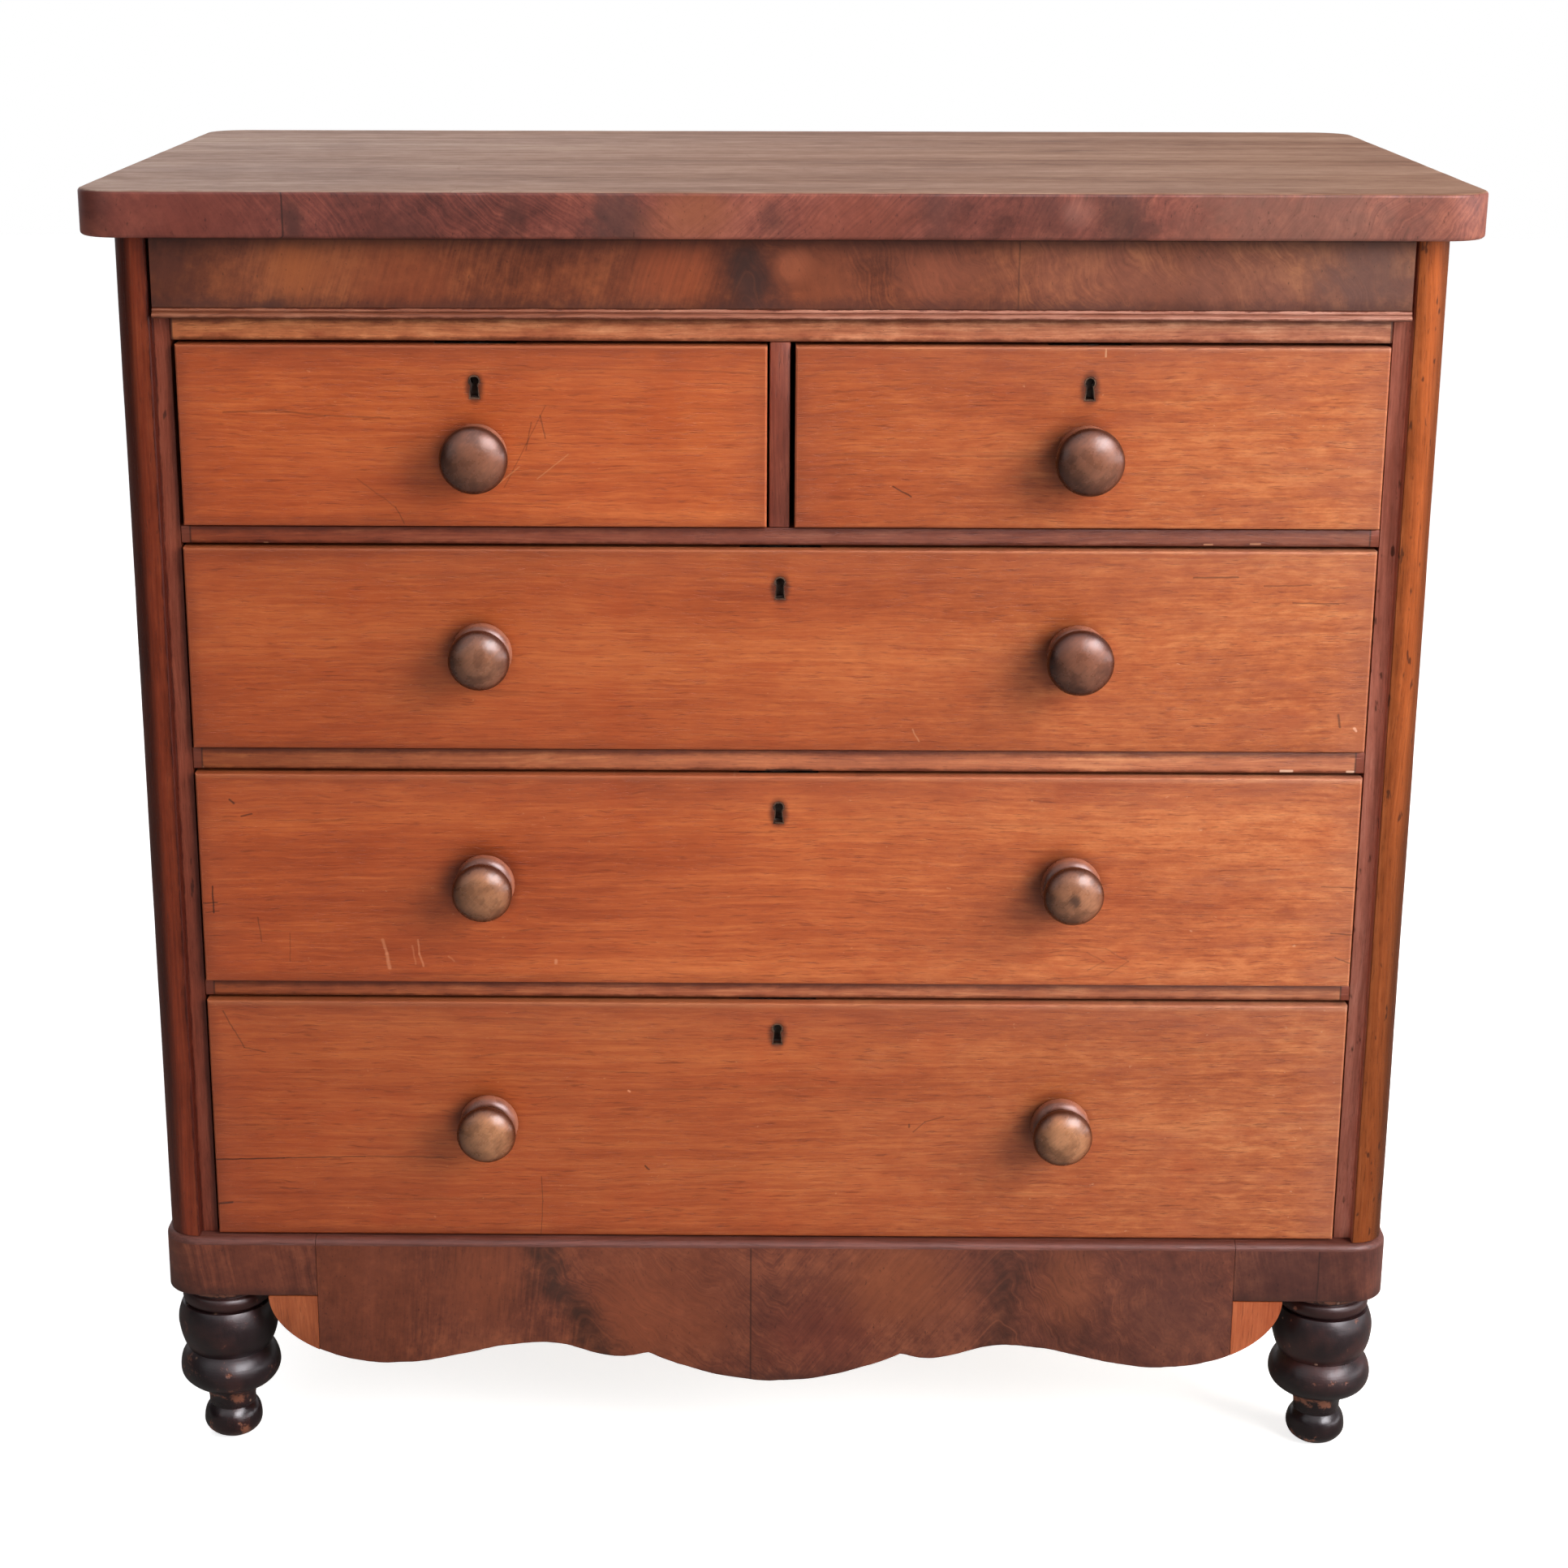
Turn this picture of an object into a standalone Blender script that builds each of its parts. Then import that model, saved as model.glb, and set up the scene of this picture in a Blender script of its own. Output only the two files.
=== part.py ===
"""Mahogany chest of two short and three long drawers, on turned feet.

Metres, +Z up, front towards -Y, origin under the middle of the bounding box.
The chest is described from the rail plane: the front face of the rails
between the drawers. Posts, frieze, drawer fronts, plinth and top stand proud
of that plane by their own named amounts.
"""
import math

import bmesh
import bpy

# Clearances
SEAT = 0.0003            # between two pieces that touch on the real chest
HEADROOM = 0.0025        # over a drawer front, under the rail above it
FRONT_LIFT = 0.0010      # drawer front's lower edge over the drawer sides' one
LONG_GAP = 0.00225       # beside a long drawer's front
SHORT_GAP = 0.00285      # beside a short drawer's front
SHORT_SHIFT = 0.0010     # both short drawers sit this far to the right
GUIDE_PLAY = 0.0010      # between a long drawer's side and its guide
BOLT_PLAY = 0.0010       # round a lock bolt in its mortise
OVERCUT = 0.0020         # how far a cutter passes the face it cuts through
BOND = 0.0020            # how far a glued block is sunk into its board

# Carcase
CARCASE_WIDTH = 1.000
CARCASE_DEPTH = 0.545    # rail plane to the back edge of the sides
SIDE_THICKNESS = 0.018
BACK_THICKNESS = 0.012
BACK_INSET = 0.003
BACK_BOARDS = 6
BACK_GROOVE_WIDTH = 0.006
BACK_GROOVE_DEPTH = 0.003

# Top board
TOP_THICKNESS = 0.0345
TOP_SIDE_OVERHANG = 0.0225
TOP_FRONT_OVERHANG = 0.023   # past the posts' front face
TOP_BACK_OVERHANG = 0.012
TOP_CORNER_RADIUS = 0.035
TOP_UPPER_ROUND = 0.003
TOP_LOWER_ROUND = 0.003

# Corner posts, each with a flat strip beside the drawers
POST_PROUD = 0.010
POST_FACE = 0.0275       # post's width seen from the front
POST_RADIUS = 0.026
POST_DEPTH = 0.030       # behind the rail plane
STRIP_WIDTH = 0.013

# Frieze under the top, with its bead
FRIEZE_HEIGHT = 0.0615
FRIEZE_PROUD = 0.012
FRIEZE_BACK = 0.012      # behind the rail plane, between the strips
FRIEZE_END_GAP = 0.003
BEAD_LARGE = 0.0046      # height of the lower, larger bead
BEAD_SMALL = 0.0030
BEAD_PROUD = 0.0040      # larger bead's reach past the frieze

# Rails, dust boards, guides and stops
TOP_RAIL = 0.0177
TOP_RAIL_DEPTH = 0.050
UPPER_RAIL = 0.0135
MIDDLE_RAIL = 0.0172
LOWER_RAIL = 0.0127
RAIL_DEPTH = 0.060
DUST_BOARD = 0.008
GUIDE_HEIGHT = 0.020
STOP_WIDTH = 0.025
STOP_HEIGHT = 0.018
STOP_DEPTH = 0.0207      # drawer's closed end to the back boards
DIVIDER_WIDTH = 0.0156
DIVIDER_DEPTH = 0.050

# Feet, each turned in one piece with its spigot
BALL_HEIGHT = 0.0285
BALL_RADIUS = 0.0246
BALL_FOOT_RADIUS = 0.0125
NECK_HEIGHT = 0.0180
NECK_RADIUS = 0.0195
SHOULDER_RADIUS = 0.0235     # top of the neck, under the lower bulb
LOWER_BULB_HEIGHT = 0.0365
LOWER_BULB_RADIUS = 0.0421
LOWER_BULB_ARRIS = 0.0309
ARRIS_RISE = 0.0030
WAIST_RADIUS = 0.0343
UPPER_BULB_HEIGHT = 0.0425
UPPER_BULB_SWELL = 0.0250    # waist to the widest place
UPPER_BULB_RADIUS = 0.0415
UPPER_BULB_TOP = 0.0375
RING_HEIGHT = 0.0130
RING_RADIUS = 0.0370
RING_EDGE = 0.0342
COLLAR_HEIGHT = 0.0085
COLLAR_RADIUS = 0.0362
COLLAR_EDGE = 0.0340
SPIGOT_RADIUS = 0.014
SPIGOT_LENGTH = 0.028
FOOT_HEIGHT = (BALL_HEIGHT + NECK_HEIGHT + LOWER_BULB_HEIGHT + UPPER_BULB_HEIGHT
               + RING_HEIGHT + COLLAR_HEIGHT)
FOOT_SETBACK = 0.044     # plinth's outer faces to a foot's axis
BACK_FOOT_SETBACK = 0.045

# Plinth and apron
PLINTH_HEIGHT = 0.0515
PLINTH_PROUD = 0.004     # past the posts and the sides
PLINTH_THICKNESS = 0.022
PLINTH_TOP_ROUND = 0.006
BOTTOM_BOARD = 0.012
BLOCK_SIZE = 0.080
APRON_EAR = 0.041        # width of the infill between the apron's end and a foot
APRON_BOW = 1.9          # power of the middle bow's curve
APRON_CENTRE_DROP = 0.0756
APRON_NOTCH_DROP = 0.050
APRON_CUSP_DROP = 0.054
APRON_HOLLOW_DROP = 0.0415
APRON_LOBE_DROP = 0.0613
APRON_NOTCH_X = 0.105
APRON_CUSP_X = 0.127
APRON_HOLLOW_X = 0.190
APRON_LOBE_X = 0.318

# Drawers
SHORT_HEIGHT = 0.1385
UPPER_HEIGHT = 0.1597
MIDDLE_HEIGHT = 0.1735
LOWER_HEIGHT = 0.2045
DRAWER_PROUD = 0.006     # drawer front past the rail plane
FRONT_THICKNESS = 0.020
FRONT_ROUND = 0.0015
DRAWER_SIDE = 0.010
DRAWER_BACK = 0.010
SIDE_DROP = 0.003        # drawer side's top under the front's top edge
BACK_DROP = 0.006        # drawer back's top under the sides' top edge
BACK_END_INSET = 0.002
BACK_HOUSING = 0.004     # how far the back runs into each side
PANEL = 0.006
PANEL_HEIGHT = 0.009     # groove's lower face over the sides' lower edge
PANEL_GROOVE = 0.005     # groove's depth
TAIL_LENGTH = 0.015
TAIL_PITCH = 0.042
PIN_WIDTH = 0.008
TAIL_SLOPE = 1.0 / 6.0

# Knobs, each turned in one piece with its spigot
KNOB_COLLAR_HEIGHT = 0.0135
KNOB_COLLAR_RADIUS = 0.0238
KNOB_COLLAR_EDGE = 0.0212
KNOB_NECK_HEIGHT = 0.0085
KNOB_NECK_RADIUS = 0.0161
KNOB_UNDER = 0.0080      # neck to the widest part of the dome
KNOB_CROWN = 0.0115      # widest part of the dome to its tip
KNOB_SPIGOT = 0.0065
KNOB_RADII = {"short": (0.0260, 0.0260), "upper": (0.0229, 0.0258),
              "middle": (0.0232, 0.0229), "lower": (0.0238, 0.0228)}   # left, right
KNOB_INSETS = {"short": (0.2298, 0.2273), "upper": (0.2303, 0.2291),
               "middle": (0.2285, 0.2279), "lower": (0.2273, 0.2296)}  # to the opening's side
KNOB_DROPS = {"short": 0.0127, "upper": 0.0010, "middle": 0.0012,
              "lower": 0.0004}       # knob's axis under the front's middle
KNOB_LENGTH = KNOB_COLLAR_HEIGHT + KNOB_NECK_HEIGHT + KNOB_UNDER + KNOB_CROWN

# Locks
KEY_INSETS = (0.2289, 0.2262)    # short drawers' keyholes to the sides of the opening
KEY_SHIFT = 0.0010       # long drawer's keyhole to the right of the middle
KEY_DROPS = {"short": 0.0315, "upper": 0.0300, "middle": 0.0300,
             "lower": 0.0265}        # keyhole's middle under the front's top edge
KEY_TOP_RADIUS = 0.0045
KEY_FOOT_HALF = 0.0042
KEY_HEIGHT = 0.0180
KEY_SWEEP = 50           # degrees under the level where the round head ends
ESCUTCHEON_WALL = 0.0009
ESCUTCHEON_DEPTH = 0.003
LOCK_WIDTH = 0.046
LOCK_HEIGHT = 0.042
LOCK_DEPTH = 0.0105
SELVEDGE_WIDTH = 0.062
SELVEDGE = 0.002
SELVEDGE_SINK = 0.0004
BOLT_WIDTH = 0.016
BOLT_THICKNESS = 0.004
BOLT_HEIGHT = 0.022
BOLT_TRAVEL = 0.009
BOLT_SINK = 0.001        # bolt's top under the drawer front's top edge
KEY_POCKET = 0.005

FOOT_SEGMENTS = 16
KNOB_SEGMENTS = 16
BORE_SEGMENTS = 12
ARC_STEPS = 6
SMOOTH_ANGLE = math.radians(35)

# Places that follow from the sizes
HALF = CARCASE_WIDTH / 2
OPENING_HALF = HALF - POST_FACE - STRIP_WIDTH
SIDE_INNER = HALF - SIDE_THICKNESS
LONG_WIDTH = 2 * (OPENING_HALF - LONG_GAP)
SHORT_WIDTH = OPENING_HALF - DIVIDER_WIDTH / 2 - 2 * SHORT_GAP
SHORT_MIDDLE = (OPENING_HALF + DIVIDER_WIDTH / 2) / 2
GUIDE_INNER = LONG_WIDTH / 2 + GUIDE_PLAY
BACK_FRONT = CARCASE_DEPTH - BACK_INSET - BACK_THICKNESS
DRAWER_LENGTH = DRAWER_PROUD + BACK_FRONT - STOP_DEPTH - SEAT
PLINTH_HALF = HALF + PLINTH_PROUD
PLINTH_FRONT = -(POST_PROUD + PLINTH_PROUD)
PLINTH_BACK_FACE = PLINTH_FRONT + PLINTH_THICKNESS
PLINTH_INNER = PLINTH_HALF - PLINTH_THICKNESS
FOOT_X = PLINTH_HALF - FOOT_SETBACK
APRON_END_X = FOOT_X - LOWER_BULB_RADIUS
APRON_HALF = APRON_END_X - APRON_EAR    # middle of the front to the joint in the plinth
TOP_FRONT = -(POST_PROUD + TOP_FRONT_OVERHANG)
TOP_BACK = CARCASE_DEPTH + TOP_BACK_OVERHANG
RAIL_Y = (DRAWER_PROUD + KNOB_LENGTH - TOP_BACK) / 2   # rail plane in the world

DRAWER_HEIGHTS = {"lower": LOWER_HEIGHT, "middle": MIDDLE_HEIGHT,
                  "upper": UPPER_HEIGHT, "short": SHORT_HEIGHT}
RAIL_OVER = {"lower": LOWER_RAIL, "middle": MIDDLE_RAIL,
             "upper": UPPER_RAIL, "short": TOP_RAIL}


def stack_levels():
    """Heights of the rails and drawers, from the plinth up."""
    levels = {"plinth_top": FOOT_HEIGHT + PLINTH_HEIGHT}
    floor = levels["plinth_top"]
    for row, height in DRAWER_HEIGHTS.items():
        levels[row] = floor + SEAT
        under = levels[row] + FRONT_LIFT + height + HEADROOM
        floor = under + RAIL_OVER[row]
        levels[row + "_rail_under"] = under
        levels[row + "_rail_top"] = floor
    levels["top_under"] = floor + FRIEZE_HEIGHT
    return levels


LEVEL = stack_levels()


def drawer_entry(name, row, x, width, knobs, key):
    """One drawer: its row, middle, width, and its knobs and keyhole from that middle."""
    return {"name": "drawer_" + name, "row": row, "x": x, "width": width,
            "height": DRAWER_HEIGHTS[row], "top": FRONT_LIFT + DRAWER_HEIGHTS[row],
            "knobs": {label: (at - x, radius) for label, at, radius in knobs},
            "knob_drop": KNOB_DROPS[row], "key": key - x, "key_drop": KEY_DROPS[row]}


def drawer_table():
    """All five drawers."""
    entries = []
    for name, n, side in (("short_left", 0, -1), ("short_right", 1, 1)):
        at = side * (OPENING_HALF - KNOB_INSETS["short"][n])
        entries.append(drawer_entry(name, "short", side * SHORT_MIDDLE + SHORT_SHIFT,
                                    SHORT_WIDTH, [("knob", at, KNOB_RADII["short"][n])],
                                    side * (OPENING_HALF - KEY_INSETS[n])))
    for name in ("upper", "middle", "lower"):
        left, right = (OPENING_HALF - inset for inset in KNOB_INSETS[name])
        knobs = [("knob_left", -left, KNOB_RADII[name][0]),
                 ("knob_right", right, KNOB_RADII[name][1])]
        entries.append(drawer_entry(name, name, 0.0, LONG_WIDTH, knobs, KEY_SHIFT))
    return entries


DRAWERS = drawer_table()

WOODS = {
    "top": ((0.23, 0.11, 0.07), 0.35),
    "carcase": ((0.22, 0.06, 0.03), 0.40),
    "flame": ((0.15, 0.05, 0.03), 0.38),
    "infill": ((0.42, 0.13, 0.05), 0.55),
    "front": ((0.45, 0.13, 0.04), 0.40),
    "knob": ((0.20, 0.09, 0.05), 0.35),
    "ebonised": ((0.02, 0.015, 0.015), 0.25),
    "lining": ((0.45, 0.30, 0.17), 0.65),
    "pine": ((0.50, 0.36, 0.20), 0.75),
}
METALS = {
    "brass": ((0.30, 0.20, 0.09), 0.45),
    "iron": ((0.12, 0.11, 0.10), 0.55),
}


def finish_for(kind, node):
    """Own Principled material for one node, of a named wood or metal."""
    metal = kind in METALS
    colour, roughness = METALS[kind] if metal else WOODS[kind]
    finish = bpy.data.materials.new(node + "_" + kind)
    finish.use_nodes = True
    shader = finish.node_tree.nodes["Principled BSDF"]
    shader.inputs["Base Color"].default_value = (*colour, 1.0)
    shader.inputs["Roughness"].default_value = roughness
    shader.inputs["Metallic"].default_value = 1.0 if metal else 0.0
    return finish


def solid(name, bm, parent, location=(0.0, 0.0, 0.0)):
    """Turn a bmesh into an object under its parent."""
    bmesh.ops.recalc_face_normals(bm, faces=bm.faces)
    mesh = bpy.data.meshes.new(name)
    bm.to_mesh(mesh)
    bm.free()
    piece = bpy.data.objects.new(name, mesh)
    piece.parent = parent
    piece.location = location
    bpy.context.scene.collection.objects.link(piece)
    return piece


def place(name, bm, kind, parent, location=(0.0, 0.0, 0.0)):
    """Finished piece of the chest, shaded smooth over its roundings."""
    piece = solid(name, bm, parent, location)
    piece.data.shade_smooth()
    piece.data.set_sharp_from_angle(angle=SMOOTH_ANGLE)
    piece.data.materials.append(finish_for(kind, name))
    return piece


def combine(piece, bm, operation):
    """Join a shape to a piece, or cut it out, through a hidden helper object."""
    helper = solid(piece.name + "_" + operation.lower(), bm, piece.parent)
    helper.hide_render = True
    helper.display_type = "WIRE"
    step = piece.modifiers.new(operation.lower(), "BOOLEAN")
    step.operation = operation
    step.object = helper
    step.solver = "EXACT"


def anchor(name, location):
    """Empty that carries the pieces of one body."""
    empty = bpy.data.objects.new(name, None)
    empty.location = location
    bpy.context.scene.collection.objects.link(empty)
    return empty


def prism(bm, outline, axis, low, high):
    """Extrude a closed outline along one axis; its points use the other two in order."""
    span = high - low
    if axis == "X":
        ring = [bm.verts.new((low, a, b)) for a, b in outline]
        step = (span, 0, 0)
    elif axis == "Y":
        ring = [bm.verts.new((a, low, b)) for a, b in outline]
        step = (0, span, 0)
    else:
        ring = [bm.verts.new((a, b, low)) for a, b in outline]
        step = (0, 0, span)
    face = bm.faces.new(ring)
    lifted = bmesh.ops.extrude_face_region(bm, geom=[face])["geom"]
    moved = [part for part in lifted if isinstance(part, bmesh.types.BMVert)]
    bmesh.ops.translate(bm, verts=moved, vec=step)


def block(bm, x_ends, y_ends, z_ends):
    """Add a plain board or block; each pair of ends may come in either order."""
    x0, x1 = sorted(x_ends)
    y0, y1 = sorted(y_ends)
    prism(bm, [(x0, y0), (x1, y0), (x1, y1), (x0, y1)], "Z", *sorted(z_ends))


def arc(centre, radii, start, end, steps):
    """Points along part of an ellipse, angles in degrees."""
    points = []
    for i in range(steps + 1):
        angle = math.radians(start + (end - start) * i / steps)
        points.append((centre[0] + radii[0] * math.cos(angle),
                       centre[1] + radii[1] * math.sin(angle)))
    return points


def circle(centre, radius, segments):
    """Closed round outline."""
    return arc(centre, (radius, radius), 0, 360, segments)[:-1]


def mirrored(outline, side):
    """Outline for one side of the chest, from the right-hand one."""
    return [(side * a, b) for a, b in outline]


def round_edges(bm, chooser, radius, segments):
    """Round the edges that chooser picks by their two ends."""
    edges = [e for e in bm.edges if chooser(e.verts[0].co, e.verts[1].co)]
    bmesh.ops.bevel(bm, geom=edges, offset=radius, segments=segments,
                    profile=0.5, affect="EDGES", clamp_overlap=True)


def turned(name, profile, segments, kind, parent, location, forward=False):
    """Lathe a profile of (radius, height) points that runs from top to bottom."""
    mesh = bpy.data.meshes.new(name)
    mesh.from_pydata([(radius, 0.0, height) for radius, height in profile],
                     [(i, i + 1) for i in range(len(profile) - 1)], [])
    mesh.materials.append(finish_for(kind, name))
    piece = bpy.data.objects.new(name, mesh)
    piece.parent = parent
    piece.location = location
    if forward:
        piece.rotation_euler = (math.radians(90), 0.0, 0.0)
    bpy.context.scene.collection.objects.link(piece)
    lathe = piece.modifiers.new("lathe", "SCREW")
    lathe.axis = "Z"
    lathe.steps = segments
    lathe.render_steps = segments
    lathe.use_merge_vertices = True
    lathe.merge_threshold = 0.00002
    lathe.use_smooth_shade = True


def swell(heights, radii, sweeps, steps):
    """Turned swelling, top to bottom.

    heights and radii are those of its top, its widest place and its foot;
    each sweep says how far round the curve goes before the edge, in degrees.
    """
    widest = heights[1]
    most = radii[1]
    halves = []
    for end, edge, sweep in ((heights[0], radii[0], math.radians(sweeps[0])),
                             (heights[2], radii[2], math.radians(sweeps[1]))):
        half = []
        for i in range(steps + 1):
            angle = sweep * i / steps
            fall = (1 - math.cos(angle)) / (1 - math.cos(sweep))
            rise = math.sin(angle) / math.sin(sweep)
            half.append((most + (edge - most) * fall, widest + (end - widest) * rise))
        halves.append(half)
    return halves[0][::-1] + halves[1][1:]


# Carcase

def make_top(root):
    half = HALF + TOP_SIDE_OVERHANG
    r = TOP_CORNER_RADIUS
    outline = []
    for corner, start in (((half - r, TOP_BACK - r), 0), ((r - half, TOP_BACK - r), 90),
                          ((r - half, TOP_FRONT + r), 180), ((half - r, TOP_FRONT + r), 270)):
        outline += arc(corner, (r, r), start, start + 90, ARC_STEPS)
    low = LEVEL["top_under"]
    high = low + TOP_THICKNESS
    bm = bmesh.new()
    prism(bm, outline, "Z", low, high)
    round_edges(bm, lambda a, b: min(a.z, b.z) > high - SEAT, TOP_UPPER_ROUND, 2)
    round_edges(bm, lambda a, b: max(a.z, b.z) < low + SEAT, TOP_LOWER_ROUND, 2)
    place("top_board", bm, "top", root)


def make_side(root, side, label):
    """Side with the drawer guides glued along its inner face."""
    front = POST_DEPTH + SEAT
    bm = bmesh.new()
    block(bm, (side * SIDE_INNER, side * HALF), (front, CARCASE_DEPTH),
          (LEVEL["plinth_top"] + SEAT, LEVEL["top_under"] - SEAT))
    panel = place("side_panel_" + label, bm, "carcase", root)
    bm = bmesh.new()
    for row in DRAWER_HEIGHTS:
        block(bm, (side * GUIDE_INNER, side * (SIDE_INNER + BOND)), (front, BACK_FRONT - SEAT),
              (LEVEL[row], LEVEL[row] + GUIDE_HEIGHT))
    combine(panel, bm, "UNION")


def make_post(root, side, label):
    """Quarter-round post with a set-back strip along its inner side."""
    face = HALF - POST_FACE
    outline = [(OPENING_HALF, 0.0), (face, 0.0), (face, -POST_PROUD)]
    outline += arc((HALF - POST_RADIUS, POST_RADIUS - POST_PROUD), (POST_RADIUS, POST_RADIUS),
                   -90, 0, ARC_STEPS)
    outline += [(HALF, POST_DEPTH), (OPENING_HALF, POST_DEPTH)]
    bm = bmesh.new()
    prism(bm, mirrored(outline, side), "Z",
          LEVEL["plinth_top"] + SEAT, LEVEL["top_under"] - SEAT)
    place("corner_post_" + label, bm, "carcase", root)


def make_back(root):
    """Upright boards with a grooved joint between each two, and the drawer stops."""
    half = SIDE_INNER - SEAT
    outer = BACK_FRONT + BACK_THICKNESS
    board = 2 * half / BACK_BOARDS
    outline = [(-half, BACK_FRONT), (half, BACK_FRONT), (half, outer)]
    for i in range(BACK_BOARDS - 1, 0, -1):
        joint = i * board - half
        outline += [(joint + BACK_GROOVE_WIDTH / 2, outer),
                    (joint, outer - BACK_GROOVE_DEPTH),
                    (joint - BACK_GROOVE_WIDTH / 2, outer)]
    outline.append((-half, outer))
    bm = bmesh.new()
    prism(bm, outline, "Z", LEVEL["plinth_top"] - BOTTOM_BOARD, LEVEL["top_under"] - SEAT)
    back = place("back_panel", bm, "pine", root)
    bm = bmesh.new()
    for drawer in DRAWERS:
        for side in (-1, 1):
            outer_x = drawer["x"] + side * drawer["width"] / 2
            low = LEVEL[drawer["row"]]
            block(bm, (outer_x, outer_x - side * STOP_WIDTH),
                  (BACK_FRONT - STOP_DEPTH, BACK_FRONT + BOND),
                  (low, low + STOP_HEIGHT))
    combine(back, bm, "UNION")


def make_frieze(root):
    """Veneered frieze over the strips, with a double bead along its foot."""
    low = LEVEL["short_rail_top"] + SEAT
    high = LEVEL["top_under"] - SEAT
    face = -FRIEZE_PROUD
    large_top = low + BEAD_LARGE
    small_top = large_top + BEAD_SMALL
    profile = [(FRIEZE_BACK, low), (FRIEZE_BACK, high), (face, high), (face, small_top)]
    profile += arc((face, large_top + BEAD_SMALL / 2), (-BEAD_SMALL / 2, BEAD_SMALL / 2),
                   60, -60, 3)
    profile += arc((face, low + BEAD_LARGE / 2), (-BEAD_PROUD, BEAD_LARGE / 2), 80, -80, 4)
    profile.append((face, low))
    half = HALF - POST_FACE - FRIEZE_END_GAP
    bm = bmesh.new()
    prism(bm, profile, "X", -half, half)
    frieze = place("frieze", bm, "flame", root)
    bm = bmesh.new()
    for side in (-1, 1):
        block(bm, (side * (OPENING_HALF - SEAT), side * HALF), (-SEAT, FRIEZE_BACK + OVERCUT),
              (low - OVERCUT, high + OVERCUT))
    combine(frieze, bm, "DIFFERENCE")


def bolt_depths(grow):
    """Front and back of a lock bolt from its drawer front's face, with a clearance."""
    middle = FRONT_THICKNESS - LOCK_DEPTH / 2
    reach = BOLT_THICKNESS / 2 + grow
    return middle - reach, middle + reach


def cut_mortises(rail, row):
    """Slots in the rail's lower face for the bolts of the locks below it."""
    under = LEVEL[row + "_rail_under"]
    depth = BOLT_TRAVEL - BOLT_SINK - HEADROOM + BOLT_PLAY
    y_ends = [y - DRAWER_PROUD for y in bolt_depths(BOLT_PLAY)]
    bm = bmesh.new()
    for drawer in DRAWERS:
        if drawer["row"] == row:
            x = drawer["x"] + drawer["key"]
            reach = BOLT_WIDTH / 2 + BOLT_PLAY
            block(bm, (x - reach, x + reach), y_ends, (under - OVERCUT, under + depth))
    combine(rail, bm, "DIFFERENCE")


def make_rail(root, row):
    """Rail over one row of drawers, with the dust board behind it."""
    top = LEVEL[row + "_rail_top"]
    half = OPENING_HALF - SEAT
    bm = bmesh.new()
    block(bm, (-half, half), (0.0, RAIL_DEPTH), (LEVEL[row + "_rail_under"], top))
    rail = place("rail_" + row, bm, "carcase", root)
    half = SIDE_INNER - SEAT
    bm = bmesh.new()
    block(bm, (-half, half), (POST_DEPTH + SEAT, BACK_FRONT - SEAT), (top - DUST_BOARD, top))
    combine(rail, bm, "UNION")
    cut_mortises(rail, row)


def make_top_rail(root):
    half = OPENING_HALF - SEAT
    bm = bmesh.new()
    block(bm, (-half, half), (0.0, TOP_RAIL_DEPTH),
          (LEVEL["short_rail_under"], LEVEL["short_rail_top"]))
    rail = place("top_rail", bm, "carcase", root)
    cut_mortises(rail, "short")


def make_divider(root):
    """Upright between the short drawers, and the guide that runs back from it."""
    low = LEVEL["upper_rail_top"] + SEAT
    high = LEVEL["short_rail_under"] - SEAT
    back = BACK_FRONT - SEAT
    outline = [(0.0, low), (back, low), (back, low + GUIDE_HEIGHT),
               (DIVIDER_DEPTH, low + GUIDE_HEIGHT), (DIVIDER_DEPTH, high), (0.0, high)]
    bm = bmesh.new()
    prism(bm, outline, "X", -DIVIDER_WIDTH / 2, DIVIDER_WIDTH / 2)
    place("drawer_divider", bm, "carcase", root)


# Base

def foot_centres():
    """Label and place of each foot, from the rail plane."""
    front = PLINTH_FRONT + FOOT_SETBACK
    back = CARCASE_DEPTH - BACK_FOOT_SETBACK
    return {"front_left": (-FOOT_X, front), "front_right": (FOOT_X, front),
            "back_left": (-FOOT_X, back), "back_right": (FOOT_X, back)}


def foot_profile():
    """Ball, neck, two bulbs, ring, collar and spigot, listed from the top down."""
    ball = BALL_HEIGHT
    neck = ball + NECK_HEIGHT
    lower = neck + LOWER_BULB_HEIGHT
    upper = lower + UPPER_BULB_HEIGHT
    ring = upper + RING_HEIGHT
    top = FOOT_HEIGHT - SEAT
    profile = [(0.0, top + SPIGOT_LENGTH), (SPIGOT_RADIUS, top + SPIGOT_LENGTH),
               (SPIGOT_RADIUS, top)]
    profile += swell((top, (top + ring) / 2, ring),
                     (COLLAR_EDGE, COLLAR_RADIUS, COLLAR_EDGE), (80, 80), 1)
    profile += swell((ring - SEAT, (ring + upper) / 2, upper),
                     (RING_EDGE, RING_RADIUS, RING_EDGE), (75, 75), 2)
    profile += swell((upper - SEAT, lower + UPPER_BULB_SWELL, lower),
                     (UPPER_BULB_TOP, UPPER_BULB_RADIUS, WAIST_RADIUS), (40, 52), 3)
    profile += swell((lower - SEAT, neck + LOWER_BULB_HEIGHT / 2, neck + ARRIS_RISE),
                     (WAIST_RADIUS, LOWER_BULB_RADIUS, LOWER_BULB_ARRIS), (57, 71), 3)
    profile += [(SHOULDER_RADIUS, neck), (NECK_RADIUS, ball + NECK_HEIGHT / 3)]
    profile += swell((ball, ball / 2, 0.0),
                     (NECK_RADIUS, BALL_RADIUS, BALL_FOOT_RADIUS), (50, 70), 2)
    profile.append((0.0, 0.0))
    return profile


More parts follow.
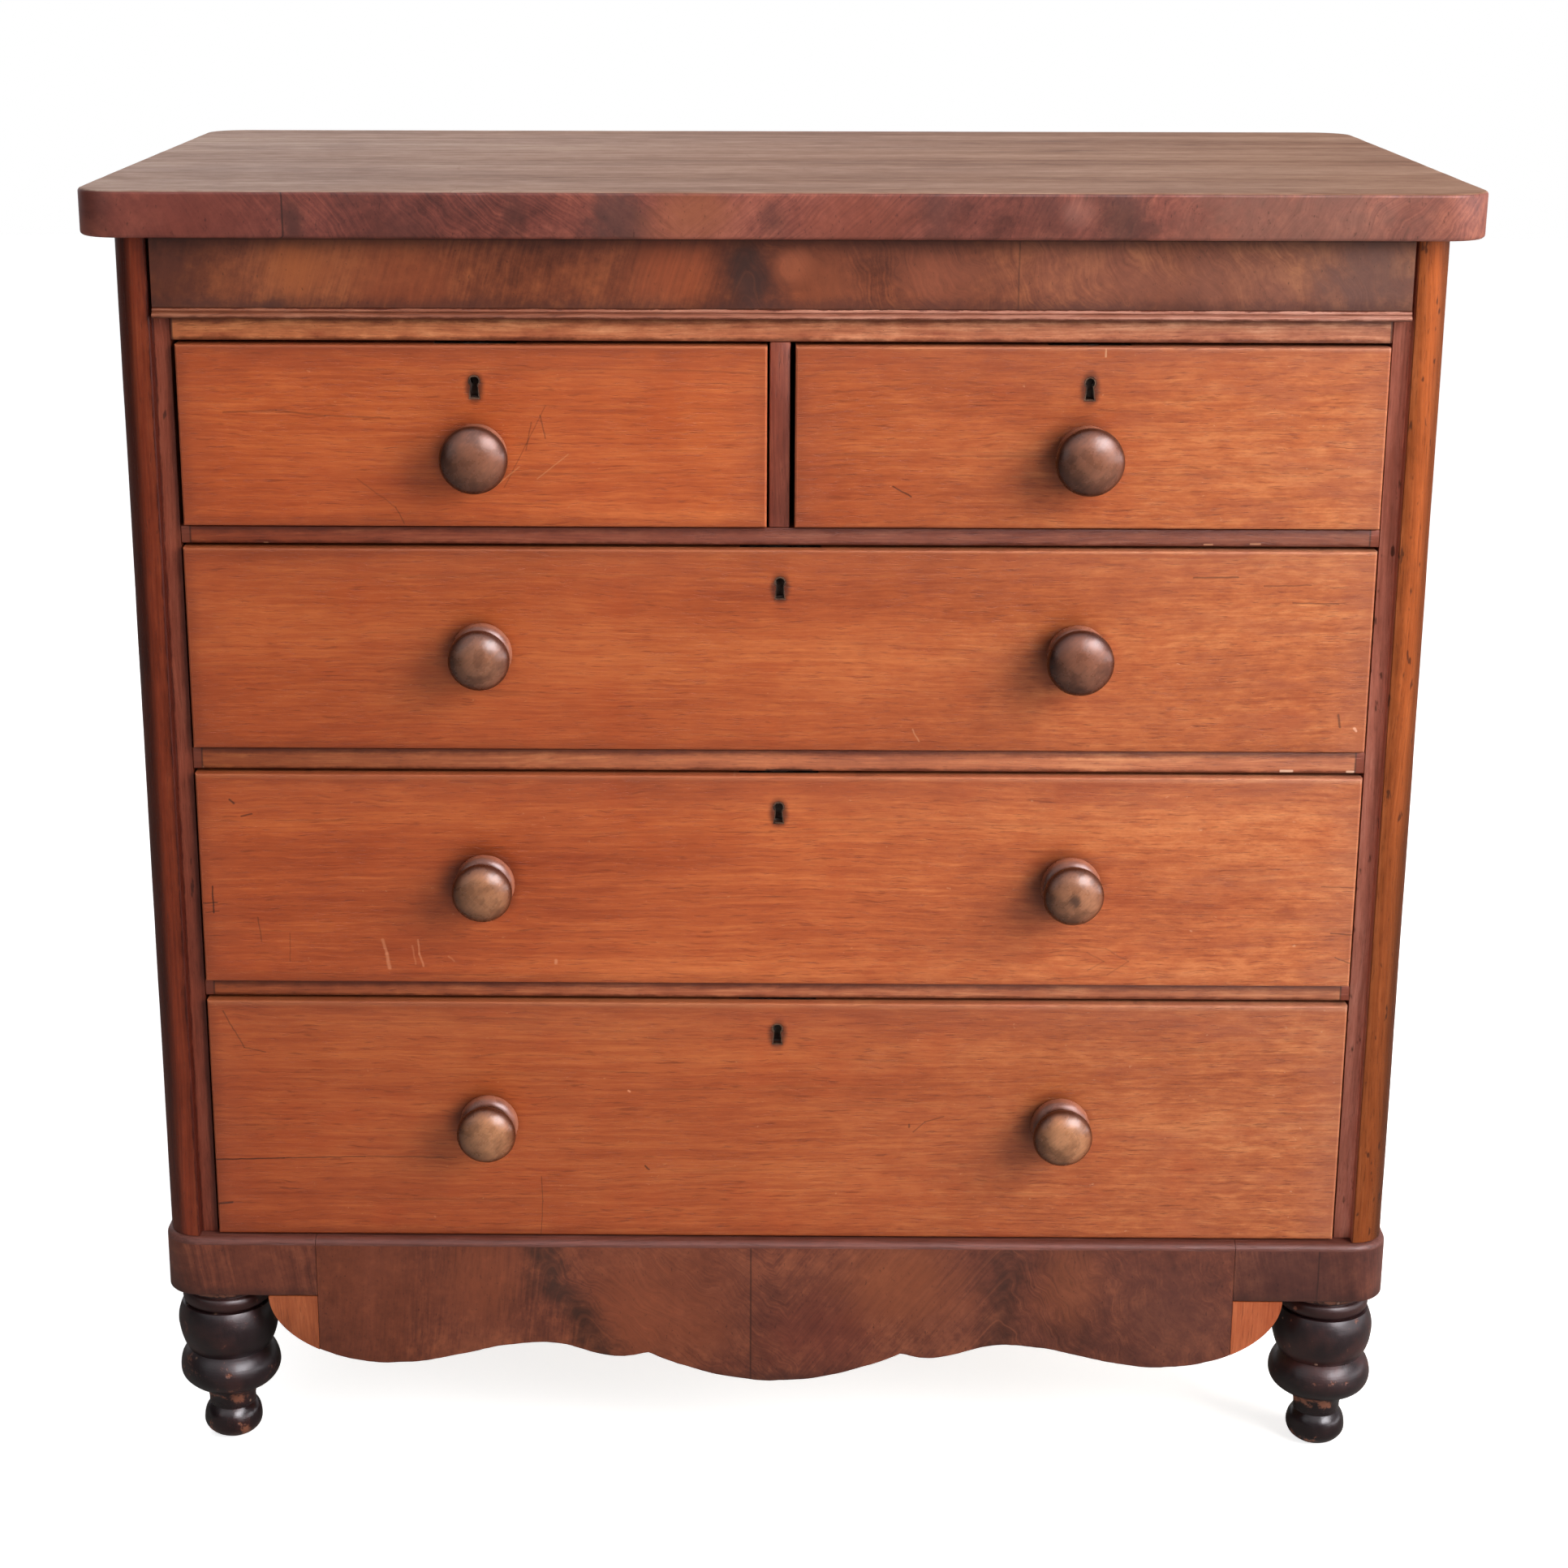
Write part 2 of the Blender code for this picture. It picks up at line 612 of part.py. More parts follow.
def make_bottom(root):
    """Bottom board with a block under each corner, bored for the foot's spigot."""
    top = LEVEL["plinth_top"]
    half = PLINTH_INNER - SEAT
    front = PLINTH_BACK_FACE + SEAT
    back = BACK_FRONT - SEAT
    bm = bmesh.new()
    block(bm, (-half, half), (front, back), (top - BOTTOM_BOARD, top))
    board = place("bottom_board", bm, "pine", root)
    bm = bmesh.new()
    for side in (-1, 1):
        for y_ends in ((front, front + BLOCK_SIZE), (back - BLOCK_SIZE, back)):
            block(bm, (side * half, side * (half - BLOCK_SIZE)), y_ends,
                  (FOOT_HEIGHT, top - BOTTOM_BOARD + BOND))
    combine(board, bm, "UNION")
    bm = bmesh.new()
    for centre in foot_centres().values():
        prism(bm, circle(centre, SPIGOT_RADIUS + 2 * SEAT, BORE_SEGMENTS), "Z",
              FOOT_HEIGHT - OVERCUT, FOOT_HEIGHT + SPIGOT_LENGTH + SEAT)
    combine(board, bm, "DIFFERENCE")


def make_plinth(root, side, label):
    """Corner and side of the plinth, rounded in plan and along its top edge."""
    radius = POST_RADIUS + PLINTH_PROUD
    joint = APRON_HALF + SEAT
    outer = [(joint, PLINTH_FRONT)]
    outer += arc((PLINTH_HALF - radius, PLINTH_FRONT + radius), (radius, radius),
                 -90, 0, ARC_STEPS)
    outer.append((PLINTH_HALF, CARCASE_DEPTH))
    outer = mirrored(outer, side)
    inner = mirrored([(PLINTH_INNER, CARCASE_DEPTH), (PLINTH_INNER, PLINTH_BACK_FACE),
                      (joint, PLINTH_BACK_FACE)], side)
    bm = bmesh.new()
    prism(bm, outer + inner, "Z", FOOT_HEIGHT, LEVEL["plinth_top"])

    def on_outer_lip(a, b):
        return (min(a.z, b.z) > LEVEL["plinth_top"] - SEAT
                and all(min(math.dist(end.xy, point) for point in outer) < SEAT
                        for end in (a, b)))

    round_edges(bm, on_outer_lip, PLINTH_TOP_ROUND, 3)
    place("plinth_" + label, bm, "flame", root)


def wave(x, start, end):
    """Smooth run between two (place, drop) points, level at both."""
    share = (x - start[0]) / (end[0] - start[0])
    return start[1] + (end[1] - start[1]) * (1 - math.cos(math.pi * share)) / 2


def apron_drop(x):
    """How far the apron's edge hangs under the plinth, by distance from the middle."""
    notch = (APRON_NOTCH_X, APRON_NOTCH_DROP)
    cusp = (APRON_CUSP_X, APRON_CUSP_DROP)
    hollow = (APRON_HOLLOW_X, APRON_HOLLOW_DROP)
    lobe = (APRON_LOBE_X, APRON_LOBE_DROP)
    x = abs(x)
    if x < APRON_NOTCH_X:
        rise = (APRON_CENTRE_DROP - APRON_NOTCH_DROP) * (x / APRON_NOTCH_X) ** APRON_BOW
        return APRON_CENTRE_DROP - rise
    if x < APRON_CUSP_X:
        share = (x - notch[0]) / (cusp[0] - notch[0])
        return notch[1] + (cusp[1] - notch[1]) * math.sin(math.pi * share / 2)
    if x < APRON_HOLLOW_X:
        return wave(x, cusp, hollow)
    if x < APRON_LOBE_X:
        return wave(x, hollow, lobe)
    share = min(1.0, (x - APRON_LOBE_X) / (APRON_END_X - APRON_LOBE_X))
    return APRON_LOBE_DROP * math.sqrt(1 - share * share)


def apron_stations():
    """Places along half of the apron where its edge gets a point."""
    marks = (0.0, APRON_NOTCH_X, APRON_CUSP_X, APRON_HOLLOW_X, APRON_LOBE_X, APRON_HALF)
    counts = (6, 3, 5, 7, 4)
    stations = []
    for start, end, count in zip(marks, marks[1:], counts):
        stations += [start + (end - start) * i / count for i in range(count)]
    return stations + [APRON_HALF]


def make_apron(root):
    """Shaped board in the middle of the plinth, one wavy edge from end to end."""
    right = apron_stations()
    edge = [-x for x in reversed(right)] + right[1:]
    top = LEVEL["plinth_top"]
    outline = [(x, FOOT_HEIGHT - apron_drop(x)) for x in edge]
    outline += [(APRON_HALF, top), (-APRON_HALF, top)]
    bm = bmesh.new()
    prism(bm, outline, "Y", PLINTH_FRONT, PLINTH_BACK_FACE)
    round_edges(bm, lambda a, b: min(a.z, b.z) > top - SEAT
                and max(a.y, b.y) < PLINTH_FRONT + SEAT, PLINTH_TOP_ROUND, 3)
    place("apron_board", bm, "flame", root)


def make_ear(root, side, label):
    """Infill that carries the apron's curve on to the foot, under the plinth."""
    joint = APRON_HALF + SEAT
    top = FOOT_HEIGHT - SEAT
    steps = 2 * ARC_STEPS
    outline = [(joint, top)]
    for i in range(steps):
        x = joint + (APRON_END_X - joint) * math.sin(math.pi / 2 * i / steps)
        outline.append((x, top - apron_drop(x)))
    outline.append((APRON_END_X, top))
    bm = bmesh.new()
    prism(bm, mirrored(outline, side), "Y", PLINTH_FRONT, PLINTH_BACK_FACE)
    place("apron_ear_" + label, bm, "infill", root)


# Drawers

def tails(drawer):
    """Middle and half width at the root of each dovetail up a drawer side."""
    usable = drawer["top"] - SIDE_DROP - PIN_WIDTH
    count = max(2, round(usable / TAIL_PITCH))
    pitch = usable / count
    half = (pitch - PIN_WIDTH) / 2 - TAIL_LENGTH * TAIL_SLOPE
    return [(PIN_WIDTH / 2 + (i + 0.5) * pitch, half) for i in range(count)]


def tail_outline(middle, half, grow, root):
    """Dovetail seen from the side, tip inside the front, grown by a clearance."""
    tip = FRONT_THICKNESS + SEAT - TAIL_LENGTH - grow
    wide = half + TAIL_LENGTH * TAIL_SLOPE + grow
    narrow = half + grow
    return [(root, middle - narrow), (tip, middle - wide), (tip, middle + wide),
            (root, middle + narrow)]


def keyhole(drawer, grow):
    """Round head over a foot that widens downwards."""
    x = drawer["key"]
    z = drawer["top"] - drawer["key_drop"]
    radius = KEY_TOP_RADIUS + grow
    foot = KEY_FOOT_HALF + grow
    low = z - KEY_HEIGHT / 2 - grow
    head = arc((x, z + KEY_HEIGHT / 2 - KEY_TOP_RADIUS), (radius, radius),
               -KEY_SWEEP, 180 + KEY_SWEEP, 8)
    return [(x - foot, low), (x + foot, low)] + head


def knob_height(drawer):
    """Knob's axis over the sides' lower edge."""
    return FRONT_LIFT + drawer["height"] / 2 - drawer["knob_drop"]


def lock_solid(bm, drawer, grow, back, high):
    """Lock's body: a selvedge along the front's top edge over a narrower case."""
    x = drawer["key"]
    top = drawer["top"] - SELVEDGE_SINK
    wide = SELVEDGE_WIDTH / 2 + grow
    case = LOCK_WIDTH / 2 + grow
    shoulder = top - SELVEDGE - grow
    low = top - LOCK_HEIGHT - grow
    outline = [(x - case, low), (x + case, low), (x + case, shoulder), (x + wide, shoulder),
               (x + wide, high), (x - wide, high), (x - wide, shoulder), (x - case, shoulder)]
    prism(bm, outline, "Y", FRONT_THICKNESS - LOCK_DEPTH - grow, back)


def make_front(drawer, body):
    """Front with blind dovetail sockets, panel groove, bores, keyhole and lock recess."""
    half = drawer["width"] / 2
    through = FRONT_THICKNESS + OVERCUT
    bm = bmesh.new()
    block(bm, (-half, half), (0.0, FRONT_THICKNESS), (FRONT_LIFT, drawer["top"]))
    round_edges(bm, lambda a, b: max(a.y, b.y) < SEAT, FRONT_ROUND, 2)
    front = place(drawer["name"] + "_front", bm, "front", body)

    bm = bmesh.new()
    for side in (-1, 1):
        ends = sorted((side * (half - DRAWER_SIDE - SEAT), side * (half + OVERCUT)))
        for middle, tail_half in tails(drawer):
            prism(bm, tail_outline(middle, tail_half, SEAT, through), "X", *ends)
    combine(front, bm, "DIFFERENCE")

    inner = half - DRAWER_SIDE + PANEL_GROOVE
    bm = bmesh.new()
    block(bm, (-inner, inner), (FRONT_THICKNESS - PANEL_GROOVE, through),
          (PANEL_HEIGHT, PANEL_HEIGHT + PANEL + 2 * SEAT))
    combine(front, bm, "DIFFERENCE")

    bm = bmesh.new()
    for x, _ in drawer["knobs"].values():
        prism(bm, circle((x, knob_height(drawer)), KNOB_SPIGOT + 2 * SEAT, BORE_SEGMENTS), "Y",
              -OVERCUT, through)
    prism(bm, keyhole(drawer, SEAT), "Y", -OVERCUT, FRONT_THICKNESS - LOCK_DEPTH)
    combine(front, bm, "DIFFERENCE")

    bm = bmesh.new()
    lock_solid(bm, drawer, SEAT, through, drawer["top"] + OVERCUT)
    combine(front, bm, "DIFFERENCE")


def make_lock(drawer, body):
    """Lock let into the back of the front, slotted for the bolt and the key."""
    x = drawer["key"]
    top = drawer["top"]
    case_front = FRONT_THICKNESS - LOCK_DEPTH
    bm = bmesh.new()
    lock_solid(bm, drawer, 0.0, FRONT_THICKNESS - SEAT, top - SELVEDGE_SINK)
    lock = place(drawer["name"] + "_lock", bm, "iron", body)
    reach = BOLT_WIDTH / 2 + SEAT
    bm = bmesh.new()
    block(bm, (x - reach, x + reach), bolt_depths(SEAT),
          (top - BOLT_SINK - BOLT_HEIGHT - SEAT, top + OVERCUT))
    combine(lock, bm, "DIFFERENCE")
    bm = bmesh.new()
    prism(bm, keyhole(drawer, -ESCUTCHEON_WALL), "Y", case_front - OVERCUT,
          case_front + KEY_POCKET)
    combine(lock, bm, "DIFFERENCE")

    bm = bmesh.new()
    block(bm, (-BOLT_WIDTH / 2, BOLT_WIDTH / 2), bolt_depths(0.0), (-BOLT_HEIGHT, 0.0))
    place(drawer["name"] + "_lock_bolt", bm, "brass", body, (x, 0.0, top - BOLT_SINK))


def make_escutcheon(drawer, body):
    """Thin brass lining let flush into the keyhole."""
    outer = keyhole(drawer, 0.0)
    inner = keyhole(drawer, -ESCUTCHEON_WALL)
    bm = bmesh.new()
    rings = []
    for outline, y in ((outer, 0.0), (outer, ESCUTCHEON_DEPTH),
                       (inner, ESCUTCHEON_DEPTH), (inner, 0.0)):
        rings.append([bm.verts.new((a, y, b)) for a, b in outline])
    for ring, following in zip(rings, rings[1:] + rings[:1]):
        for i in range(len(ring)):
            bm.faces.new((ring[i - 1], ring[i], following[i], following[i - 1]))
    place(drawer["name"] + "_escutcheon", bm, "brass", body)


def make_box(drawer, body):
    """Two sides with dovetails at the front, the back between them and the bottom."""
    half = drawer["width"] / 2
    height = drawer["top"] - SIDE_DROP
    root = FRONT_THICKNESS + SEAT
    rear = DRAWER_LENGTH - BACK_END_INSET
    groove_top = PANEL_HEIGHT + PANEL + 2 * SEAT
    outline = [(root, 0.0)]
    for middle, tail_half in tails(drawer):
        outline += tail_outline(middle, tail_half, 0.0, root)
    outline += [(root, height), (DRAWER_LENGTH, height), (DRAWER_LENGTH, 0.0)]
    bm = bmesh.new()
    for side in (-1, 1):
        prism(bm, outline, "X", *sorted((side * half, side * (half - DRAWER_SIDE))))
    box = place(drawer["name"] + "_box", bm, "lining", body)

    reach = half - DRAWER_SIDE + BACK_HOUSING
    bm = bmesh.new()
    block(bm, (-reach, reach), (rear - DRAWER_BACK, rear), (groove_top, height - BACK_DROP))
    combine(box, bm, "UNION")

    inner = half - DRAWER_SIDE + PANEL_GROOVE
    bm = bmesh.new()
    block(bm, (-inner, inner), (FRONT_THICKNESS - PANEL_GROOVE, DRAWER_LENGTH + OVERCUT),
          (PANEL_HEIGHT, groove_top))
    combine(box, bm, "DIFFERENCE")

    edge = inner - SEAT
    bm = bmesh.new()
    block(bm, (-edge, edge), (FRONT_THICKNESS - PANEL_GROOVE + SEAT, rear),
          (PANEL_HEIGHT + SEAT, PANEL_HEIGHT + SEAT + PANEL))
    place(drawer["name"] + "_bottom", bm, "pine", body)


def knob_profile(radius):
    """Dome, neck, collar and the spigot through the front, listed from the tip."""
    neck_low = KNOB_COLLAR_HEIGHT
    neck_high = neck_low + KNOB_NECK_HEIGHT
    widest = neck_high + KNOB_UNDER
    inside = SEAT - FRONT_THICKNESS
    profile = swell((KNOB_LENGTH, widest, neck_high), (0.0, radius, KNOB_NECK_RADIUS),
                    (90, 75), 3)
    profile += swell((neck_low, neck_low / 2, 2 * SEAT),
                     (KNOB_NECK_RADIUS, KNOB_COLLAR_RADIUS, KNOB_COLLAR_EDGE), (88, 60), 3)
    profile += [(KNOB_SPIGOT, SEAT), (KNOB_SPIGOT, inside), (0.0, inside)]
    return profile


def make_drawer(drawer):
    body = anchor(drawer["name"], (drawer["x"], RAIL_Y - DRAWER_PROUD, LEVEL[drawer["row"]]))
    make_front(drawer, body)
    make_box(drawer, body)
    make_escutcheon(drawer, body)
    make_lock(drawer, body)
    for label, (x, radius) in drawer["knobs"].items():
        turned(drawer["name"] + "_" + label, knob_profile(radius), KNOB_SEGMENTS, "knob", body,
               (x, 0.0, knob_height(drawer)), forward=True)


def main():
    for old in list(bpy.data.objects):
        bpy.data.objects.remove(old, do_unlink=True)
    root = anchor("carcase", (0.0, RAIL_Y, 0.0))
    make_top(root)
    make_back(root)
    make_frieze(root)
    make_top_rail(root)
    make_divider(root)
    for row in ("upper", "middle", "lower"):
        make_rail(root, row)
    make_bottom(root)
    make_apron(root)
    for side, label in ((-1, "left"), (1, "right")):
        make_side(root, side, label)
        make_post(root, side, label)
        make_plinth(root, side, label)
        make_ear(root, side, label)
    for label, (x, y) in foot_centres().items():
        turned("foot_" + label, foot_profile(), FOOT_SEGMENTS, "ebonised", root, (x, y, 0.0))
    for drawer in DRAWERS:
        make_drawer(drawer)


main()
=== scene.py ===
"""Look of the mahogany chest: camera, soft light, old woods, and its turned and moulded pieces."""
import math
from functools import partialmethod

import bmesh
import bpy
from mathutils import Matrix, Vector, noise


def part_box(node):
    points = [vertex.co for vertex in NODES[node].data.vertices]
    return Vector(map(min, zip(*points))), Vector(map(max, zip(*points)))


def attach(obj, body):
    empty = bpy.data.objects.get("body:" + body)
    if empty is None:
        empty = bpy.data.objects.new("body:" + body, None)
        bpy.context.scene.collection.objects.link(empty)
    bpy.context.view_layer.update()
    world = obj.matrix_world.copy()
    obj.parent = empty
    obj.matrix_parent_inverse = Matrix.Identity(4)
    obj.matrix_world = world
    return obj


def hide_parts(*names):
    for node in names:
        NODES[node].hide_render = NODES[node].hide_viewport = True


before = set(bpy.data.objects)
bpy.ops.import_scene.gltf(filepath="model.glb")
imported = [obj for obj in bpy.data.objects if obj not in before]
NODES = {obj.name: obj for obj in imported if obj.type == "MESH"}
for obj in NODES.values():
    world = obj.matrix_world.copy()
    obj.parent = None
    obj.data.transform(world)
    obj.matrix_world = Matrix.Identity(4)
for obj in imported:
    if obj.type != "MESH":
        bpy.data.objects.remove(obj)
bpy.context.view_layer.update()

RAIL_Y = -0.25475            # front face of the rails between the drawers
FRONT_Y = -0.26075           # front face of the drawers
FOOT_Z = 0.147               # underside of the carcase, where the feet end
STRIP_X = 0.4595             # inner side of the posts' strips
QUIRK_X = 0.4725             # joint between a post's strip and its round
JOINT_X = 0.3773             # joint between a plinth piece and the apron
EAR_X = 0.4179               # outer end of the apron's wave, where an ear ends
BOARD = 0.022                # thickness of the plinths, the apron and the ears
LIP = 0.0055                 # depth of the rounded upper edge that has its own wood
EASE = 0.0008                # bevel on the sharp arrises of rails
FEET = {"front_left": (-0.46, -0.22475), "front_right": (0.46, -0.22475),
        "back_left": (-0.46, 0.24525), "back_right": (0.46, 0.24525)}
BLACK, BARE = (0.02, 0.007, 0.005), (0.62, 0.3, 0.17)
PINK, CHIP = (0.66, 0.27, 0.16), (0.75, 0.5, 0.36)
# Scratches, cracks and scuffs: half width in metres, colour, strength, and the (x, z) they
# run through, in tenths of a millimetre
MARKS = {
    "short_left": (
        (0.001, BLACK, 0.35, (-4210, 8796), (-3810, 8812), (-3440, 8773),
         (-2950, 8757)),
        (0.0006, BLACK, 0.35, (-2091, 8231), (-1771, 8853)),
        (0.0008, BLACK, 0.45, (-1815, 8779), (-1775, 8606)),
        (0.0007, BARE, 0.4, (-2152, 8243), (-1976, 8387)),
        (0.0007, BLACK, 0.4, (-1925, 8512), (-1878, 8729)),
        (0.0006, BARE, 0.4, (-1842, 8294), (-1605, 8482)),
        (0.0007, BLACK, 0.3, (-3215, 8289), (-2925, 8071)),
        (0.0007, BLACK, 0.45, (-2925, 8071), (-2866, 7945))),
    "short_right": (
        (0.0009, BLACK, 0.7, (861, 8241), (1004, 8167)),
        (0.0009, BARE, 0.6, (2440, 9290), (2440, 9235))),
    "upper": (
        (0.001, BLACK, 0.55, (3180, 7545), (3520, 7550)),
        (0.0008, BLACK, 0.5, (3950, 7350), (4300, 7342)),
        (0.0008, BLACK, 0.45, (3720, 7480), (4080, 7488)),
        (0.0012, BLACK, 0.6, (4350, 6460), (4370, 6360)),
        (0.0014, PINK, 0.9, (4480, 6350), (4495, 6330)),
        (0.0008, BARE, 0.4, (1050, 6330), (1100, 6230))),
    "middle": (
        (0.0016, PINK, 0.55, (-3145, 4566), (-3110, 4449)),
        (0.0021, PINK, 0.65, (-3110, 4449), (-3095, 4325)),
        (0.001, PINK, 0.55, (-2860, 4568), (-2851, 4451)),
        (0.0012, PINK, 0.6, (-2851, 4451), (-2821, 4347)),
        (0.001, PINK, 0.35, (-2907, 4519), (-2886, 4361)),
        (0.0009, PINK, 0.35, (-2618, 4431), (-2573, 4390)),
        (0.0018, PINK, 0.75, (-1762, 4398), (-1762, 4380)),
        (0.0009, BLACK, 0.8, (-4479, 5010), (-4483, 4785)),
        (0.0008, BLACK, 0.7, (-4560, 4866), (-4450, 4870)),
        (0.0007, BLACK, 0.5, (-4540, 4790), (-4440, 4800)),
        (0.0007, BLACK, 0.45, (-4129, 4753), (-4108, 4550)),
        (0.0006, BLACK, 0.35, (-3880, 4620), (-3890, 4380)),
        (0.0012, BLACK, 0.75, (-4309, 5732), (-4278, 5699)),
        (0.0009, BLACK, 0.7, (-4226, 5592), (-4141, 5612)),
        (0.0008, BLACK, 0.6, (4401, 4661), (4582, 4649)),
        (0.0008, BLACK, 0.55, (4445, 4456), (4578, 4402)),
        (0.0006, BLACK, 0.5, (4300, 5050), (4560, 5045)),
        (0.0008, BLACK, 0.22, (2150, 4581), (2620, 4520)),
        (0.0008, BLACK, 0.25, (2620, 4520), (2802, 4413), (2640, 4300)),
        (0.0008, BLACK, 0.22, (2640, 4300), (2161, 4257)),
        (0.0008, BLACK, 0.2, (2200, 4514), (2475, 4490)),
        (0.0008, BLACK, 0.25, (2475, 4490), (2608, 4412)),
        (0.0008, BLACK, 0.22, (2608, 4412), (2482, 4338))),
    "lower": (
        (0.0008, BLACK, 0.8, (-4589, 2655), (-4011, 2670)),
        (0.0007, BLACK, 0.65, (-4011, 2670), (-3346, 2690)),
        (0.0006, BLACK, 0.45, (-3346, 2690), (-2597, 2686)),
        (0.0006, BLACK, 0.45, (-1911, 2517), (-1902, 2300), (-1920, 2009)),
        (0.0007, BLACK, 0.45, (1117, 2931), (1214, 3024), (1364, 3070)),
        (0.0012, BLACK, 0.6, (1083, 2995), (1083, 2975)),
        (0.0012, BLACK, 0.75, (-4560, 2260), (-4450, 2275)),
        (0.0008, BLACK, 0.5, (-4450, 3950), (-4290, 3640)),
        (0.0007, BLACK, 0.5, (-4290, 3640), (-4120, 3600)),
        (0.0013, PINK, 0.9, (-1190, 3280), (-1180, 3275)),
        (0.0012, BLACK, 0.7, (-1060, 2620), (-1030, 2590))),
}
RAIL_MARKS = {
    "rail_middle": (
        (0.0013, BLACK, 0.9, (-84, 5974), (266, 5974)),
        (0.0012, BARE, 0.8, (-4556, 5980), (-4518, 5980)),
        (0.0013, CHIP, 0.85, (3939, 5986), (4028, 5986)),
        (0.0013, CHIP, 0.85, (4459, 5982), (4510, 5982))),
    "rail_upper": (
        (0.0009, BARE, 0.6, (3256, 7791), (3318, 7791)),
        (0.0009, BARE, 0.6, (3609, 7796), (3684, 7796)),
        (0.0009, BARE, 0.5, (-3953, 7780), (-3928, 7780))),
}
# Veneer patches: run, z, reach, reach in z, colour, strength
GLOW, EMBER = (0.27, 0.085, 0.036), (0.22, 0.052, 0.026)
GLOOM, SOOT = (0.085, 0.026, 0.019), (0.045, 0.018, 0.014)
TOP_PATCHES = (
    (-0.44, 1.03, 0.06, 0.03, (0.19, 0.046, 0.03), 0.5),
    (-0.358, 1.026, 0.01, 0.022, SOOT, 0.7), (-0.285, 1.018, 0.03, 0.013, GLOOM, 0.5),
    (-0.197, 1.03, 0.012, 0.02, SOOT, 0.6),
    (-0.118, 1.03, 0.026, 0.028, (0.055, 0.028, 0.023), 0.7),
    (-0.066, 1.03, 0.034, 0.022, GLOW, 0.6), (-0.006, 1.028, 0.012, 0.014, SOOT, 0.5),
    (0.06, 1.03, 0.05, 0.03, EMBER, 0.45), (0.115, 1.03, 0.012, 0.022, SOOT, 0.45),
    (0.196, 1.03, 0.018, 0.022, GLOOM, 0.6),
    (0.219, 1.034, 0.014, 0.012, (0.3, 0.12, 0.09), 0.5),
    (0.25, 1.03, 0.022, 0.026, SOOT, 0.8),
    (0.39, 1.03, 0.09, 0.03, (0.22, 0.095, 0.066), 0.5))
FRIEZE_PATCHES = (
    (-0.458, 0.985, 0.026, 0.032, GLOOM, 0.75),
    (-0.36, 0.99, 0.026, 0.022, (0.42, 0.14, 0.05), 0.8),
    (-0.378, 0.961, 0.016, 0.009, SOOT, 0.7),
    (-0.285, 0.978, 0.05, 0.03, (0.32, 0.085, 0.034), 0.5),
    (-0.075, 0.984, 0.034, 0.024, (0.38, 0.11, 0.046), 0.7),
    (-0.026, 0.982, 0.026, 0.03, SOOT, 0.95),
    (0.008, 0.99, 0.013, 0.012, (0.42, 0.15, 0.08), 0.9),
    (0.033, 0.976, 0.022, 0.026, GLOW, 0.6),
    (0.112, 0.982, 0.03, 0.026, (0.38, 0.125, 0.066), 0.5),
    (0.24, 0.985, 0.07, 0.022, (0.3, 0.1, 0.056), 0.4),
    (0.34, 0.975, 0.07, 0.025, (0.27, 0.095, 0.055), 0.4),
    (0.44, 0.985, 0.045, 0.035, (0.12, 0.055, 0.04), 0.7))
APRON_PATCHES = (
    (-0.33, 0.14, 0.05, 0.06, (0.19, 0.054, 0.024), 0.4),
    (-0.236, 0.165, 0.04, 0.04, (0.25, 0.074, 0.032), 0.6),
    (-0.1, 0.135, 0.06, 0.05, (0.29, 0.085, 0.036), 0.65),
    (0.035, 0.115, 0.05, 0.035, (0.18, 0.042, 0.026), 0.5),
    (0.105, 0.16, 0.05, 0.04, (0.28, 0.086, 0.034), 0.65),
    (0.242, 0.16, 0.028, 0.04, (0.25, 0.078, 0.032), 0.6),
    (0.32, 0.13, 0.06, 0.055, (0.095, 0.032, 0.024), 0.6))
PLINTH_PATCHES = (
    (-0.43, 0.17, 0.05, 0.04, (0.16, 0.046, 0.024), 0.4),
    (0.43, 0.17, 0.05, 0.04, GLOOM, 0.5))


# Camera, light and floor

def look():
    """Camera fitted to the photo."""
    data = bpy.data.cameras.new("camera")
    data.sensor_width = 36.0
    data.lens = 67.53
    data.shift_x = 0.0325
    data.clip_end = 60.0
    eye = bpy.data.objects.new("camera", data)
    turn = (Matrix.Rotation(math.radians(0.587), 4, "Z")
            @ Matrix.Rotation(math.radians(90 - 16.773), 4, "X")
            @ Matrix.Rotation(math.radians(0.091), 4, "Z"))
    eye.matrix_world = Matrix.Translation((-0.0123, -2.46785, 1.253)) @ turn
    bpy.context.scene.collection.objects.link(eye)
    bpy.context.scene.camera = eye
    bpy.context.scene.view_settings.view_transform = "Standard"


def lamp(name, place, aim, size, power, colour, mirrored=True):
    data = bpy.data.lights.new(name, "AREA")
    data.shape = "RECTANGLE"
    data.size, data.size_y = size
    data.energy = power
    data.color = colour
    light = bpy.data.objects.new(name, data)
    light.visible_glossy = mirrored
    light.location = place
    light.rotation_euler = (Vector(aim) - Vector(place)).to_track_quat("-Z", "Y").to_euler()
    bpy.context.scene.collection.objects.link(light)


